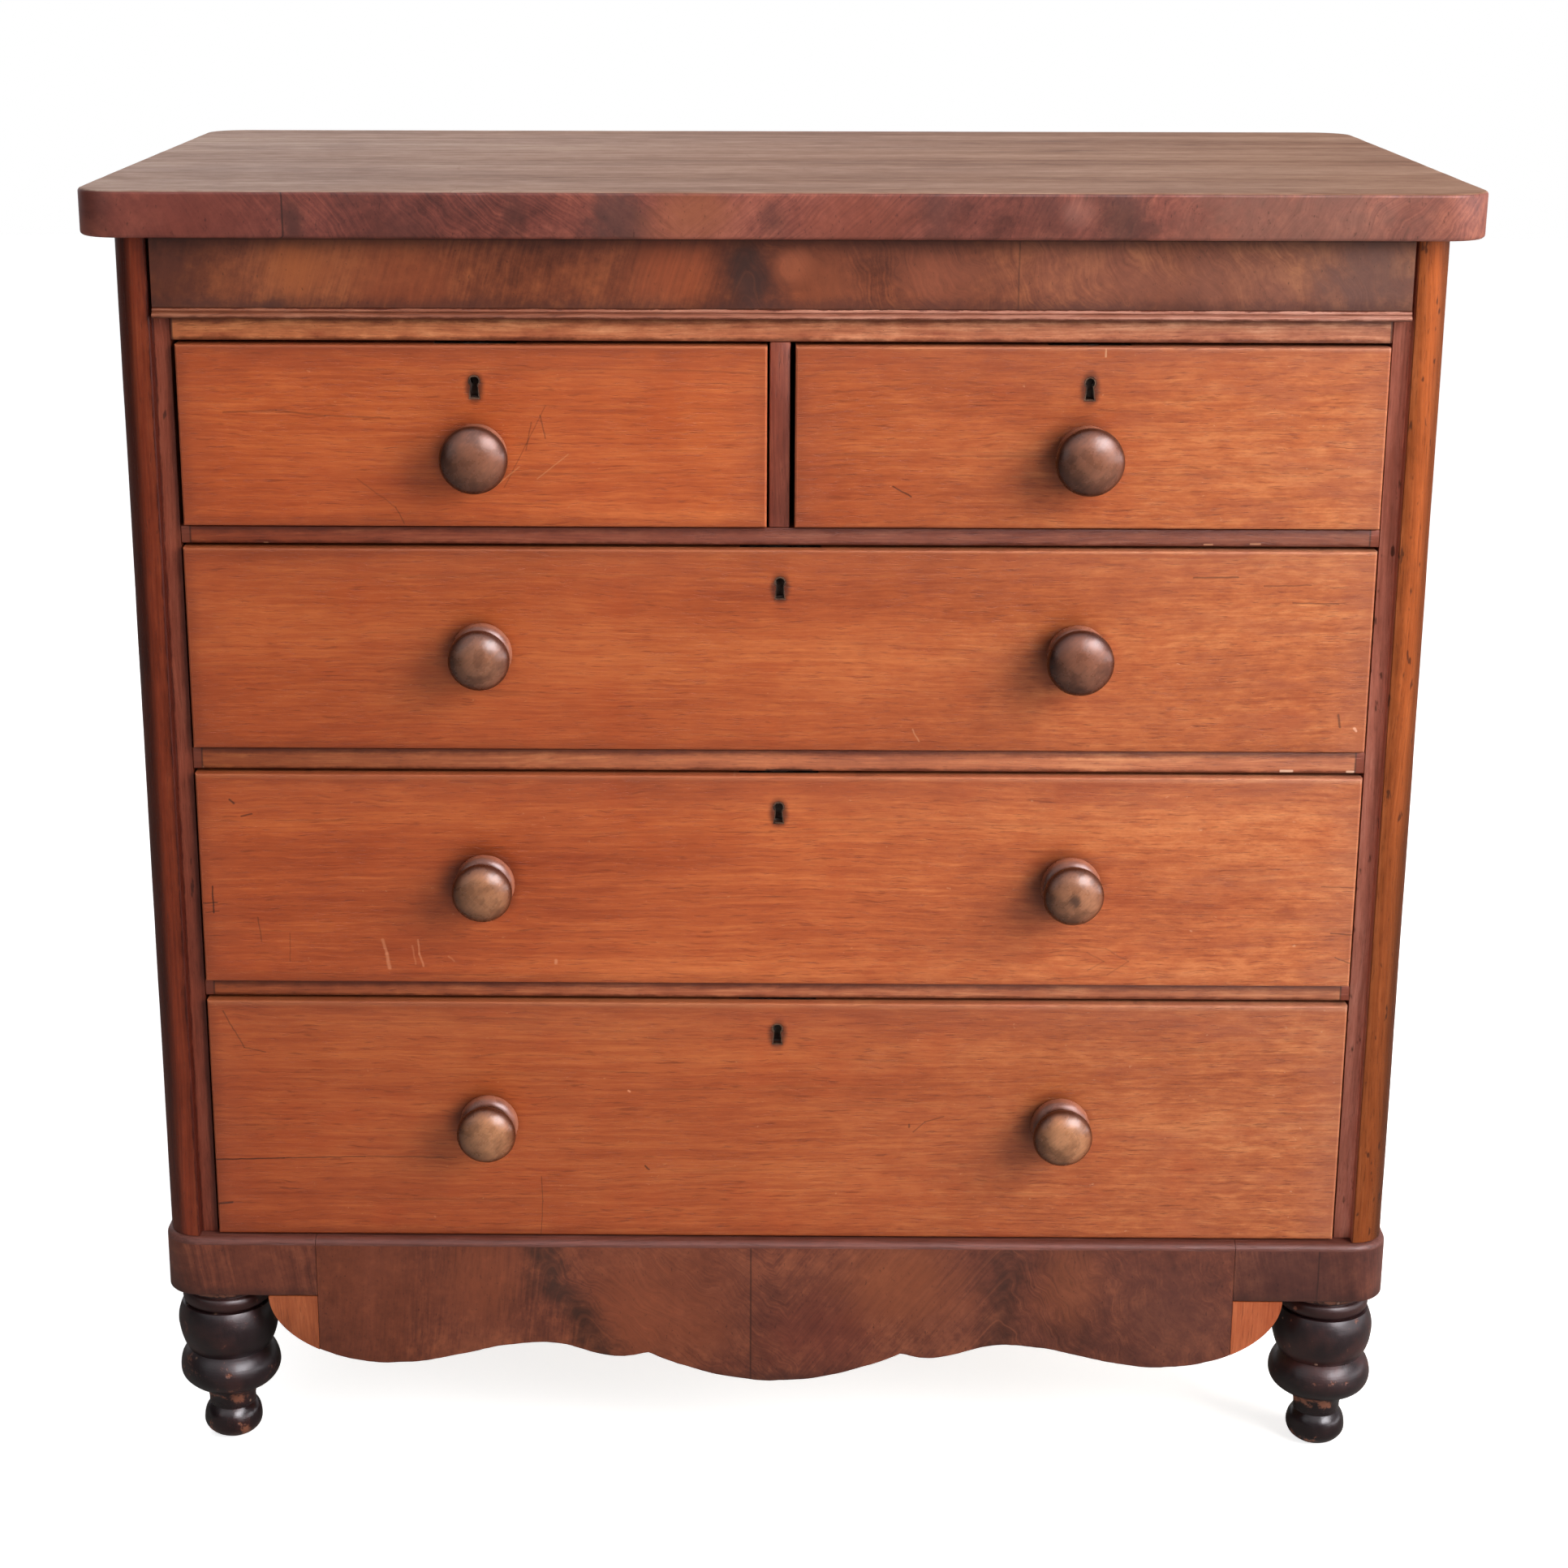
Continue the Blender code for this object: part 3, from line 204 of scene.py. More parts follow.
class Shade:
    """Material whose nodes are made and joined by short calls."""

    def __init__(self, name, owner=None):
        self.owner = owner or bpy.data.materials.new(name)
        self.owner.use_nodes = True
        self.tree = self.owner.node_tree
        self.colour = None

    def node(self, kind, ins=None, **settings):
        made = self.tree.nodes.new("ShaderNode" + kind)
        for key, value in settings.items():
            setattr(made, key, value)
        for key, value in (ins or {}).items():
            self.set(made.inputs[key], value)
        return made

    def set(self, socket, value):
        if isinstance(value, bpy.types.NodeSocket):
            self.tree.links.new(value, socket)
        else:
            socket.default_value = value

    def sum(self, operation, a, b=0.0, c=0.0, clamp=False):
        return self.node("Math", {0: a, 1: b, 2: c}, operation=operation,
                         use_clamp=clamp).outputs[0]

    mul = partialmethod(sum, "MULTIPLY")
    mad = partialmethod(sum, "MULTIPLY_ADD")
    add = partialmethod(sum, "ADD")
    sub = partialmethod(sum, "SUBTRACT")
    least = partialmethod(sum, "MINIMUM")

    def gap(self, a, b):
        return self.sum("ABSOLUTE", self.sub(a, b))

    def vec(self, operation, a, b=(0.0, 0.0, 0.0)):
        made = self.node("VectorMath", {0: a, 1: b}, operation=operation)
        return made.outputs["Value" if operation in ("LENGTH", "DOT_PRODUCT") else "Vector"]

    scale = partialmethod(vec, "MULTIPLY")
    shift = partialmethod(vec, "ADD")
    away = partialmethod(vec, "SUBTRACT")
    length = partialmethod(vec, "LENGTH")

    def span(self, value, low, high, first=0.0, last=1.0, smooth=False):
        """First at low, last at high, and what lies between them in between."""
        return self.node("MapRange", {0: value, 1: low, 2: high, 3: first, 4: last},
                         interpolation_type="SMOOTHSTEP" if smooth else "LINEAR").outputs[0]

    def ease(self, value, low, high, last=1.0):
        """Nothing at low, last at high, with a soft start and end."""
        return self.span(value, low, high, 0.0, last, True)

    def mix(self, share, a, b):
        made = self.node("Mix", data_type="RGBA")
        self.set(made.inputs[0], share)
        for socket, value in ((made.inputs[6], a), (made.inputs[7], b)):
            self.set(socket, value if isinstance(value, bpy.types.NodeSocket)
                     else (*value[:3], 1.0))
        return made.outputs[2]

    def ramp(self, value, places, colours):
        made = self.node("ValToRGB", {0: value})
        points = made.color_ramp.elements
        points.new(0.5)
        for point, place, colour in zip(points, places, colours):
            point.position = place
            point.color = (*colour, 1.0)
        return made.outputs[0]

    def noise(self, at, scale=1.0, detail=2.0, rough=0.5):
        """Noise at a place; scale is one number, or one for each axis."""
        if isinstance(scale, tuple):
            at, scale = self.scale(at, scale), 1.0
        return self.node("TexNoise", {"Vector": at, "Scale": scale, "Detail": detail,
                                      "Roughness": rough}).outputs[0]

    def place(self):
        return self.node("TexCoord").outputs["Object"]

    def split(self, at):
        made = self.node("SeparateXYZ", {0: at})
        return made.outputs[0], made.outputs[1], made.outputs[2]

    def join(self, x, y, z):
        return self.node("CombineXYZ", {0: x, 1: y, 2: z}).outputs[0]

    def same(self, value):
        return self.join(value, value, value)

    def lay(self, share, colour):
        """Cover the colour made so far with another one, by a share from 0 to 1."""
        self.colour = self.mix(share, self.colour, colour)

    def filter(self, colour):
        self.colour = self.scale(self.colour, colour)

    def total(self, *parts):
        """Sum of values, each times its weight; a bare number last is added as it is."""
        (value, weight), *others = parts
        made = self.mul(value, weight)
        for part in others:
            made = self.mad(*part, made) if isinstance(part, tuple) else self.add(made, part)
        return made

    def finish(self, rough, height, depth, **fixed):
        shader = self.tree.nodes["Principled BSDF"]
        self.set(shader.inputs["Base Color"], self.colour)
        self.set(shader.inputs["Roughness"], rough)
        for key, value in fixed.items():
            shader.inputs[key.replace("_", " ")].default_value = value
        bump = self.node("Bump", {"Height": height, "Distance": depth, "Strength": 1.0})
        self.tree.links.new(bump.outputs[0], shader.inputs["Normal"])
        return self.owner


def surroundings():
    """Lamps, the world that lights and mirrors in the chest, and the floor."""
    lamp("key", (2.6, -1.9, 2.1), (0.1, 0.0, 0.55), (2.4, 2.4), 168.0, (1.0, 0.98, 0.95), False)
    lamp("fill", (-2.6, -2.4, 1.6), (0.0, 0.0, 0.5), (1.6, 1.6), 5.0, (0.96, 0.98, 1.0))
    lamp("back", (-1.6, 2.6, 2.4), (0.0, 0.1, 0.8), (2.0, 2.0), 40.0, (0.97, 0.98, 1.0), False)
    world = bpy.data.worlds.new("studio")
    bpy.context.scene.world = world
    s = Shade("", world)
    ray = s.node("LightPath").outputs
    seen = s.sum("MAXIMUM", ray["Is Camera Ray"], ray["Is Transmission Ray"])
    # Glossy rays meet a pale backdrop behind the chest and a dim room in front, with a low
    # window and a soft box at the right and a glow above
    x, y, z = s.split(s.node("TexCoord").outputs["Generated"])
    sheen = s.mul(s.span(y, -0.2, 0.5, 0.42, 1.0), s.span(x, -0.22, 0.22, 1.08, 0.5))
    sheen = s.mul(sheen, s.span(z, 0.5, 0.85, 1.0, 0.45))
    sheen = s.mul(sheen, s.span(x, -0.95, -0.35, 0.1, 1.0))
    window = s.mul(s.ease(x, 0.25, 0.85, 6.2), s.span(y, 0.5, -0.1))
    window = s.mul(window, s.span(z, 0.02, 0.22, 1.0, 0.1))
    sheen = s.mad(window, s.span(z, -0.6, 0.1, 0.12, 1.0), sheen)
    box = s.mul(s.ease(x, 0.1, 0.36, 15.0), s.span(x, 0.86, 0.6))
    box = s.mul(box, s.ease(z, 0.16, 0.34))
    box = s.mul(box, s.span(z, 0.8, 0.6))
    sheen = s.mad(box, s.span(y, -0.15, -0.35), sheen)
    above = s.mul(s.ease(z, 0.12, 0.62, 1.5), s.span(y, 0.1, -0.3))
    sheen = s.mad(above, s.span(x, -0.8, -0.1, 0.25, 1.0), sheen)

    tinted = s.scale(s.same(sheen), (0.97, 0.95, 1.0))
    other = s.mix(ray["Is Glossy Ray"], (0.23, 0.23, 0.23), tinted)
    s.set(s.tree.nodes["Background"].inputs["Color"], s.mix(seen, other, (1.0, 1.0, 1.0)))

    bm = bmesh.new()
    corners = ((-9, -9), (9, -9), (9, 9), (-9, 9))
    bm.faces.new([bm.verts.new((x, y, 0.0)) for x, y in corners])
    mesh = bpy.data.meshes.new("floor")
    bm.to_mesh(mesh)
    bm.free()
    floor = bpy.data.objects.new("floor", mesh)
    floor.location.z = -0.0005
    bpy.context.scene.collection.objects.link(floor)
    s = Shade("floor")
    shader = s.tree.nodes["Principled BSDF"]
    ray = s.node("LightPath").outputs
    s.set(shader.inputs["Base Color"],
          s.mix(ray["Is Glossy Ray"], (0.86, 0.86, 0.86), (0.3, 0.29, 0.28)))
    shader.inputs["Roughness"].default_value = 0.9
    shader.inputs["Specular IOR Level"].default_value = 0.1
    shader.inputs["Emission Color"].default_value = (1.0, 1.0, 1.0, 1.0)
    s.set(shader.inputs["Emission Strength"], s.mul(ray["Is Camera Ray"], 0.78))
    mesh.materials.append(s.owner)


# Woods

def toned(colour, factor):
    return tuple(part * factor for part in colour)


def seeded(s, at, seed):
    """Place from which a wood's pattern is read, another one for each piece."""
    return s.shift(at, (seed, seed * 0.37, seed * 0.71))


def stretch(axis, along, across):
    """Scale of a pattern that runs along one axis of the chest."""
    return tuple(along if letter == axis else across for letter in "XYZ")


def marked(s, at, marks):
    """Draw scratches, cracks and scuffs, each a run of straight pieces."""
    for wide, tint, strength, *points in marks:
        points = [(x / 10000, z / 10000) for x, z in points]
        for (x, z), (end_x, end_z) in zip(points, points[1:]):
            run = Vector((end_x - x, 0.0, end_z - z))
            away = s.away(at, (x, 0.0, z))
            along = s.mul(s.vec("DOT_PRODUCT", away, tuple(run)), 1.0 / run.length_squared,
                          clamp=True)
            gap = s.length(s.away(away, s.scale(s.same(along), tuple(run))))
            s.lay(s.span(gap, wide, wide * 0.35, 0.0, strength), tint)


def grain(s, p, axis, bands, wave=0.03):
    """Bands, fibres and pores that run along one axis, as values from 0 to 1."""
    warp = s.noise(p, stretch(axis, 2.2, 7.0))
    q = s.shift(p, s.scale(s.same(warp), stretch(axis, 0.0, wave)))
    band = s.noise(q, stretch(axis, 0.9, bands), 4.0, 0.55)
    fibre = s.noise(q, stretch(axis, 16.0, 520.0), 3.0, 0.6)
    pore = s.noise(q, stretch(axis, 75.0, 900.0), 3.0, 0.65)
    return band, fibre, s.span(pore, 0.56, 0.7), q


def specks(s, p, axis, limit, keep=None):
    """Small dark digs and worm holes, a few in every hand's breadth."""
    cells = s.node("TexVoronoi", {"Vector": s.scale(p, stretch(axis, 44.0, 80.0))})
    rough = s.noise(p, 420.0, 2.0, 0.6)
    size = s.mad(rough, 0.3, s.span(cells.outputs["Distance"], 0.15, 0.0, 0.0, 1.0))
    chosen = s.split(cells.outputs["Color"])[0]
    if keep is not None:
        chosen = s.add(chosen, keep)
    return s.mul(s.span(size, 0.58, 0.78), s.span(chosen, limit, limit + 0.02), clamp=True)


def tone_and_light_across(s, at, tone_and_light_tints):
    """Tone, painted light and sheen across the piece: a tint at the left, middle and right."""
    left, middle, right = tone_and_light_tints
    x = s.split(at)[0]
    tint = s.mix(s.span(x, -0.44, 0.0), left, middle)
    s.filter(s.mix(s.span(x, 0.0, 0.44), tint, right))


def timber(s, at, axis, tones, seed, bands, mottle=0.22):
    """Lay the colour of old mahogany, and give the values that its surface is made from."""
    p = seeded(s, at, seed)
    band, fibre, pore, _ = grain(s, p, axis, bands)
    wide = s.noise(p, stretch(axis, 4.0, 10.0), 3.0, 0.6)
    blot = s.noise(p, stretch(axis, 45.0, 120.0), 4.0, 0.7)
    tone = s.total((wide, 0.42), (band, 0.5), (fibre, 0.42), (blot, mottle),
                   -0.17 - mottle * 0.5)
    s.colour = s.ramp(tone, (0.3, 0.5, 0.7), tones)
    s.lay(s.mul(pore, 0.45), toned(tones[0], 0.45))
    spot = specks(s, p, axis, 0.86)
    s.lay(s.mul(spot, 0.75), BLACK)
    height = s.total((fibre, 0.3), (pore, -0.5), (spot, -1.0), (s.noise(p, 26.0, 1.0), 2.2))
    return fibre, blot, height


def mahogany(name, tones, axis, seed, bands=34.0, mottle=0.22, tint=None, span=None, ends=None,
             marks=()):
    """Old polished mahogany, dented and worn; tones run dark to light.

    Span is the height of a rail's lower and upper edge and how far painted shade, with
    some grimy polish, darkens it in from them; ends is the X at which it is let into the
    strips. Tint is tone, painted light and sheen across the piece from left to right.
    """
    s = Shade(name)
    at = s.place()
    fibre, blot, height = timber(s, at, axis, tones, seed, bands, mottle)
    # Tone, painted light and sheen across from left to right
    if tint is not None:
        tone_and_light_across(s, at, tint)
    if span is not None:
        x, _, z = s.split(at)
        foot, head, low_reach, high_reach = span
        shaky = s.mul(s.sub(blot, 0.5), 0.005)
        low = s.add(s.sub(z, foot), shaky)
        high = s.add(s.sub(head, z), shaky)
        # Painted shade, with some grimy polish, along the lower and upper edge
        s.lay(s.ease(low, low_reach, 0.0006, 0.75), (0.07, 0.011, 0.003))
        s.lay(s.ease(high, high_reach, 0.0008, 0.78), (0.075, 0.011, 0.003))
        marked(s, s.scale(at, (1.0, 0.0, 1.0)), marks)
    if ends is not None:
        reach = s.sum("ABSOLUTE", x)
        joined = s.mix(fibre, (0.12, 0.022, 0.01), (0.26, 0.065, 0.034))
        s.lay(s.span(reach, ends, ends + 0.0004), joined)
        s.lay(s.span(s.gap(reach, ends), 0.001, 0.0003, 0.0, 0.7), BLACK)
    gloss = s.span(blot, 0.3, 0.7, 0.31, 0.53)
    return s.finish(gloss, height, 0.00028, Specular_IOR_Level=0.4)


def post_coat(name, side, body, flat, seed, levels, turn, drawer_shadow, quirk, strip_light, shine):
    """Corner post: round outside, a grimy quirk in painted shade, and the set-back strip by the
    drawers.

    Body and flat are tones of the round and the strip. The levels are the painted shade
    on the round: its strength beside the quirk, in its middle and outside, and at its foot;
    turn is how far out that painted shade starts to darken it. Then soil is how dark a
    painted shadow makes the strip beside the drawers, quirk how dark grimy polish and
    painted shade make the joint, and bleach how much paler painted light makes the strip
    towards it.
    """
    s = Shade(name)
    at = s.place()
    x, _, z = s.split(at)
    reach = s.mul(x, side)
    # The strip's wood comes first and is kept, then the round's
    timber(s, at, "Z", flat, seed + 3.3, 60.0)
    strip = s.colour
    _, blot, height = timber(s, at, "Z", body, seed, 60.0)
    inner, middle, outer, foot = levels
    # Painted light makes the strip paler towards the quirk, in the round's shadow, and painted
    # shade darkens it towards the foot
    foot_shade = math.sqrt(foot)
    gain = s.mul(s.span(reach, 0.461, QUIRK_X, 1.0, strip_light), s.span(z, 0.4, 0.7, foot_shade, 1.0, True))
    strip = s.scale(strip, s.same(gain))
    out = s.add(reach, s.mul(s.sub(blot, 0.5), 0.004))
    # Painted shade across the round: darker beside the quirk, outside and low down
    power = s.span(out, 0.4735, 0.486, inner, middle, True)
    power = s.mul(power, s.span(out, turn, turn + 0.0085, 1.0, outer / middle, True))
    low = s.span(out, 0.476, 0.49, 1.0 - 0.15 * (1.0 - foot), foot * foot ** 0.2)
    near = s.span(z, 0.44, 0.7, 1.0, 0.0, True)
    power = s.mul(power, s.mad(near, s.add(low, -1.0), 1.0))
    s.filter(s.same(power))
    s.colour = s.mix(s.span(reach, 0.4722, 0.4728), strip, s.colour)
    # Grimy polish and painted shade in the quirk, and a painted shadow on the strip by the drawers
    s.lay(s.ease(s.gap(out, 0.4726), 0.0021, 0.0005, quirk), (0.045, 0.006, 0.003))
    s.lay(s.ease(out, 0.4645, 0.4603, drawer_shadow), (0.055, 0.008, 0.003))
    limit = 0.69 - 0.03 * side
    knocks = s.span(s.noise(at, (160.0, 160.0, 60.0)), limit, limit + 0.06, 0.0, 0.7)
    s.lay(knocks, BLACK)
    gloss = s.span(blot, 0.3, 0.7, 0.3, 0.5)
    return s.finish(gloss, height, 0.0003, Specular_IOR_Level=shine)


def drawer_coat(name, tones, seed, box, knobs, key, marks, lip):
    """Drawer front: old polish, grimy and in painted shade at its rim and knobs, grimy at its
    keyhole.

    The box is the front's (x, x, z, z), knobs and key are (x, z), and lip is the width
    and strength of the pale upper arris, worn and with a painted highlight.
    """
    s = Shade(name)
    at = s.place()
    x, _, z = s.split(at)
    p = seeded(s, at, seed)
    band, fibre, pore, q = grain(s, p, "X", 30.0, 0.022)
    wide = s.noise(p, (2.6, 1.0, 7.0), 3.0, 0.6)
    blot = s.noise(p, (30.0, 1.0, 75.0), 4.0, 0.65)
    line = s.noise(q, (3.5, 1.0, 190.0), 3.0, 0.7)
    ripple = s.shift(q, s.scale(s.join(0.0, 0.0, s.noise(p, 34.0)), (0.0, 0.0, 0.006)))
    strand = s.noise(ripple, (15.0, 1.0, 400.0), 3.0, 0.7)
    tone = s.total((wide, 0.5), (band, 0.44), (fibre, 0.26), (blot, 0.26), (line, 0.3),
                   (strand, 0.44), -0.6)
    ribbon = s.noise(ripple, (48.0, 1.0, 135.0), 4.0, 0.75)
    tone = s.mad(s.sub(ribbon, 0.5), s.span(x, -0.1, 0.42, 0.12, 0.72), tone)
    s.colour = s.ramp(tone, (0.28, 0.5, 0.72), tones)
    smear = s.noise(ripple, (11.0, 1.0, 62.0), 3.0, 0.65)
    smear = s.mul(s.span(smear, 0.5, 0.7), s.span(x, 0.0, 0.44, 0.08, 0.6))
    s.lay(smear, (0.3, 0.066, 0.028))
    s.lay(s.span(s.noise(p, 17.0, 3.0, 0.6), 0.52, 0.75, 0.0, 0.3), (0.4, 0.062, 0.014))
    s.lay(s.mul(pore, s.span(x, -0.1, 0.42, 0.3, 0.6)), toned(tones[0], 0.4))
    dash = s.noise(ripple, (48.0, 1.0, 560.0), 2.0, 0.6)
    s.lay(s.span(dash, 0.6, 0.72, 0.0, 0.5), toned(tones[0], 0.45))
    s.lay(s.span(line, 0.6, 0.72, 0.0, 0.45), toned(tones[0], 0.6))

    # Distances from the front's edges, and the wear, grimy polish, painted shade and painted
    # highlights that follow them
    left, right, foot, head = box
    side = s.least(s.sub(x, left), s.sub(right, x))
    low = s.sub(z, foot)
    high = s.sub(head, z)
    spot = specks(s, p, "X", 0.9, s.span(side, 0.12, 0.0, -0.03, 0.16))
    s.lay(s.mul(spot, 0.85), BLACK)
    nicks = s.span(s.noise(p, (170.0, 1.0, 260.0), 2.0, 0.6), 0.72, 0.79, 0.0, 0.35)
    s.lay(nicks, BARE)
    ragged = s.mul(s.sub(blot, 0.5), 0.014)
    rim = s.least(side, s.least(low, high))
    # Grimy polish and painted shade in the rim, stronger at the left
    rim_grime_and_shade = s.mul(s.ease(s.add(rim, ragged), 0.013, 0.001), s.span(x, -0.3, 0.2, 0.5, 0.14))
    s.lay(rim_grime_and_shade, toned(tones[0], 0.6))
    # Haze and a painted sheen near the sides and the top
    haze_and_sheen = s.add(s.least(side, high), s.mul(ragged, 3.0))
    s.lay(s.ease(haze_and_sheen, 0.045, 0.0, 0.26), (0.28, 0.078, 0.045))
    # Dark ring round each knob, set a little to the left and down: grimy polish and a painted
    # shadow
    for kx, kz in knobs:
        away = s.scale(s.away(at, (kx - 0.005, 0.0, kz - 0.001)), (1.0, 0.0, 1.0))
        halo = s.ease(s.mad(wide, 0.014, s.length(away)), 0.044, 0.025, 0.7)
        s.lay(halo, (0.075, 0.013, 0.004))
    away = s.scale(s.away(at, (key[0], 0.0, key[1])), (1.0, 0.0, 0.62))
    halo = s.ease(s.add(s.length(away), s.mul(ragged, 0.3)), 0.0095, 0.0045, 0.8)
    s.lay(halo, (0.04, 0.009, 0.005))
    # Pale upper arris: wear and a painted highlight
    reach, strength = lip
    arris = s.add(high, s.mul(ragged, reach * 90.0))
    arris = s.ease(arris, reach * 2.4, reach * 0.6, strength)
    s.lay(arris, s.scale(s.colour, (1.3, 1.8, 2.4)))
    # Painted highlight along the side arrises
    edge = s.span(s.mad(blot, 0.0014, side), 0.003, 0.0018, 0.0, 0.5)
    s.lay(edge, s.scale(s.colour, (1.35, 1.6, 1.9)))
    shaky = s.noise(at, 120.0)
    moved = s.shift(at, s.scale(s.join(shaky, 0.0, shaky), (0.0016, 0.0, 0.0016)))
    moved = s.scale(s.shift(moved, (-0.0008, 0.0, -0.0008)), (1.0, 0.0, 1.0))
    marked(s, moved, marks)
    # Painted light and sheen across the front, paler and cooler to the right
    tone_and_light_across(s, at, ((0.92, 0.76, 0.56), (1.0, 0.93, 0.78), (1.1, 1.36, 1.5)))

    gloss = s.span(s.noise(p, 11.0, 4.0, 0.65), 0.3, 0.7, 0.34, 0.54)
    height = s.total((fibre, 0.35), (pore, -0.5), (strand, 0.5), (spot, -1.0),
                     (s.noise(p, 24.0, 1.0), 2.4))
    return s.finish(gloss, height, 0.0003, Specular_IOR_Level=0.38)


def veneer(name, tones, front, level, fall, patches, plumes, seams, seed, tint, low=None,
           shade=None):
    """Flame veneer: soft dark and glowing patches, and plumes with fine ribs falling on both sides.

    Places run along X on the front face and go on along Y round a corner. Fall is how
    steeply the ribs drop away from a plume. A patch is (run, z, reach, reach in z,
    colour, strength); a plume is (run, half width, darkness, lean, clearness of its
    ribs); a seam is (run, strength). Tint is tone, painted light and sheen across the
    piece from left to right. Low and shade are heights: painted shade darkens the lower
    arris above low, and a painted shadow of the top darkens the upper edge under shade.
    """
    s = Shade(name)
    at = s.place()
    x, y, z = s.split(at)
    run = s.add(x, s.sub(y, front))
    flat = s.join(run, seed, z)
    soft = s.noise(flat, 13.0, 3.0, 0.55)
    mottle = s.noise(flat, 62.0, 4.0, 0.68)
    cloud = s.noise(flat, (7.0, 1.0, 12.0), 3.0, 0.6)
    bend = s.noise(flat, 34.0)
    sway = s.mad(soft, 0.06, s.mad(bend, 0.02, -0.04))
    gaps = []
    for place, half, darkness, lean, clear in plumes:
        gap = s.mad(z, lean, s.add(run, -place - level * lean))
        gap = s.add(gap, s.mul(sway, 0.6))
        gaps.append(s.sum("SQRT", s.mad(gap, gap, 0.00002)))
    near = gaps[0] if gaps else s.add(run, 2.0)      # no plume: ribs fall one way all along
    for gap in gaps[1:]:
        near = s.least(near, gap)
    arc = s.add(s.mad(near, fall, z), sway)
    slow = 1.0 / math.sqrt(1.0 + fall * fall)
    fibre = s.noise(s.join(s.mul(arc, 400.0 * slow), s.mul(near, 60.0), seed), 1.0, 3.0, 0.65)
    vein = s.noise(s.join(s.mul(arc, 120.0 * slow), s.mul(near, 24.0), seed), 1.0, 3.0, 0.6)
    blotch = s.noise(flat, 150.0, 3.0, 0.7)
    fade = s.mul(s.sub(fibre, 0.5), s.span(soft, 0.35, 0.6, 0.1, 0.52))
    tone = s.add(fade, s.total((vein, 0.16), (cloud, 0.62), (mottle, 0.5)))
    tone = s.add(s.mad(blotch, 0.26, tone), -0.27)
    s.colour = s.ramp(tone, (0.28, 0.5, 0.72), tones)
    rugged = s.mad(mottle, 0.9, s.mad(soft, 1.1, -1.45))
    rugged = s.mad(vein, 0.8, rugged)
    for place, height, reach, tall, stain, strength in patches:
        away = s.scale(s.away(flat, (place, seed, height)), (1.0 / reach, 0.0, 1.0 / tall))
        share = s.ease(s.add(s.length(away), rugged), 1.4, 0.2, strength)
        share = s.mul(share, s.span(fibre, 0.25, 0.75, 0.7, 1.15), clamp=True)
        s.lay(share, stain)
    for (place, half, darkness, lean, clear), gap in zip(plumes, gaps):
        ribs = s.join(s.mul(arc, 330.0 * slow), s.mul(gap, 9.0), place + seed)
        ribs = s.noise(ribs, 1.0, 2.0, 0.6)
        close = s.ease(gap, half * 3.2, half * 0.8)
        core = s.ease(s.mad(mottle, half * 1.8, gap), half * 2.1, half * 0.8, darkness)
        core = s.mul(core, s.span(ribs, 0.36, 0.64, 1.15, 0.8), clamp=True)
        core = s.mul(core, s.span(soft, 0.3, 0.55, 0.75, 1.0))
        s.lay(core, (0.036, 0.016, 0.011))
        s.lay(s.mul(close, s.span(ribs, 0.56, 0.72, 0.0, clear)), toned(tones[2], 1.2))
        s.lay(s.mul(close, s.span(ribs, 0.46, 0.32, 0.0, clear)), toned(tones[0], 0.6))
    tick = s.noise(at, (420.0, 420.0, 210.0), 2.0, 0.6)
    s.lay(s.span(tick, 0.64, 0.74, 0.0, 0.5), toned(tones[0], 0.4))
    spot = specks(s, s.shift(flat, (seed, 0.0, 0.0)), "Z", 0.88)
    s.lay(s.mul(spot, 0.7), BLACK)
    for place, strength in seams:
        gap = s.gap(s.mad(soft, 0.0016, run), place + 0.0008)
        s.lay(s.span(gap, 0.001, 0.0003, 0.0, strength), BLACK)
    # Tone, painted light and sheen across from left to right
    tone_and_light_across(s, at, tint)
    wander = s.mul(s.sub(mottle, 0.5), 0.012)
    # Painted shadow of the top over the upper edge, darkest just under it
    if shade is not None:
        s.lay(s.ease(s.add(z, wander), shade - 0.014, shade, 0.55), (0.045, 0.013, 0.008))
        s.lay(s.ease(z, shade - 0.0036, shade - 0.0014, 0.85), (0.02, 0.005, 0.003))
    # Painted shade over the lower arris
    if low is not None:
        s.lay(s.ease(s.add(z, wander), low + 0.012, low, 0.6), (0.04, 0.013, 0.01))
    height = s.total((fibre, 0.3), (s.noise(at, 22.0, 1.0), 2.0), (spot, -1.0))
    gloss = s.span(s.noise(at, 13.0, 3.0, 0.6), 0.3, 0.7, 0.32, 0.52)
    return s.finish(gloss, height, 0.00028, Specular_IOR_Level=0.42)


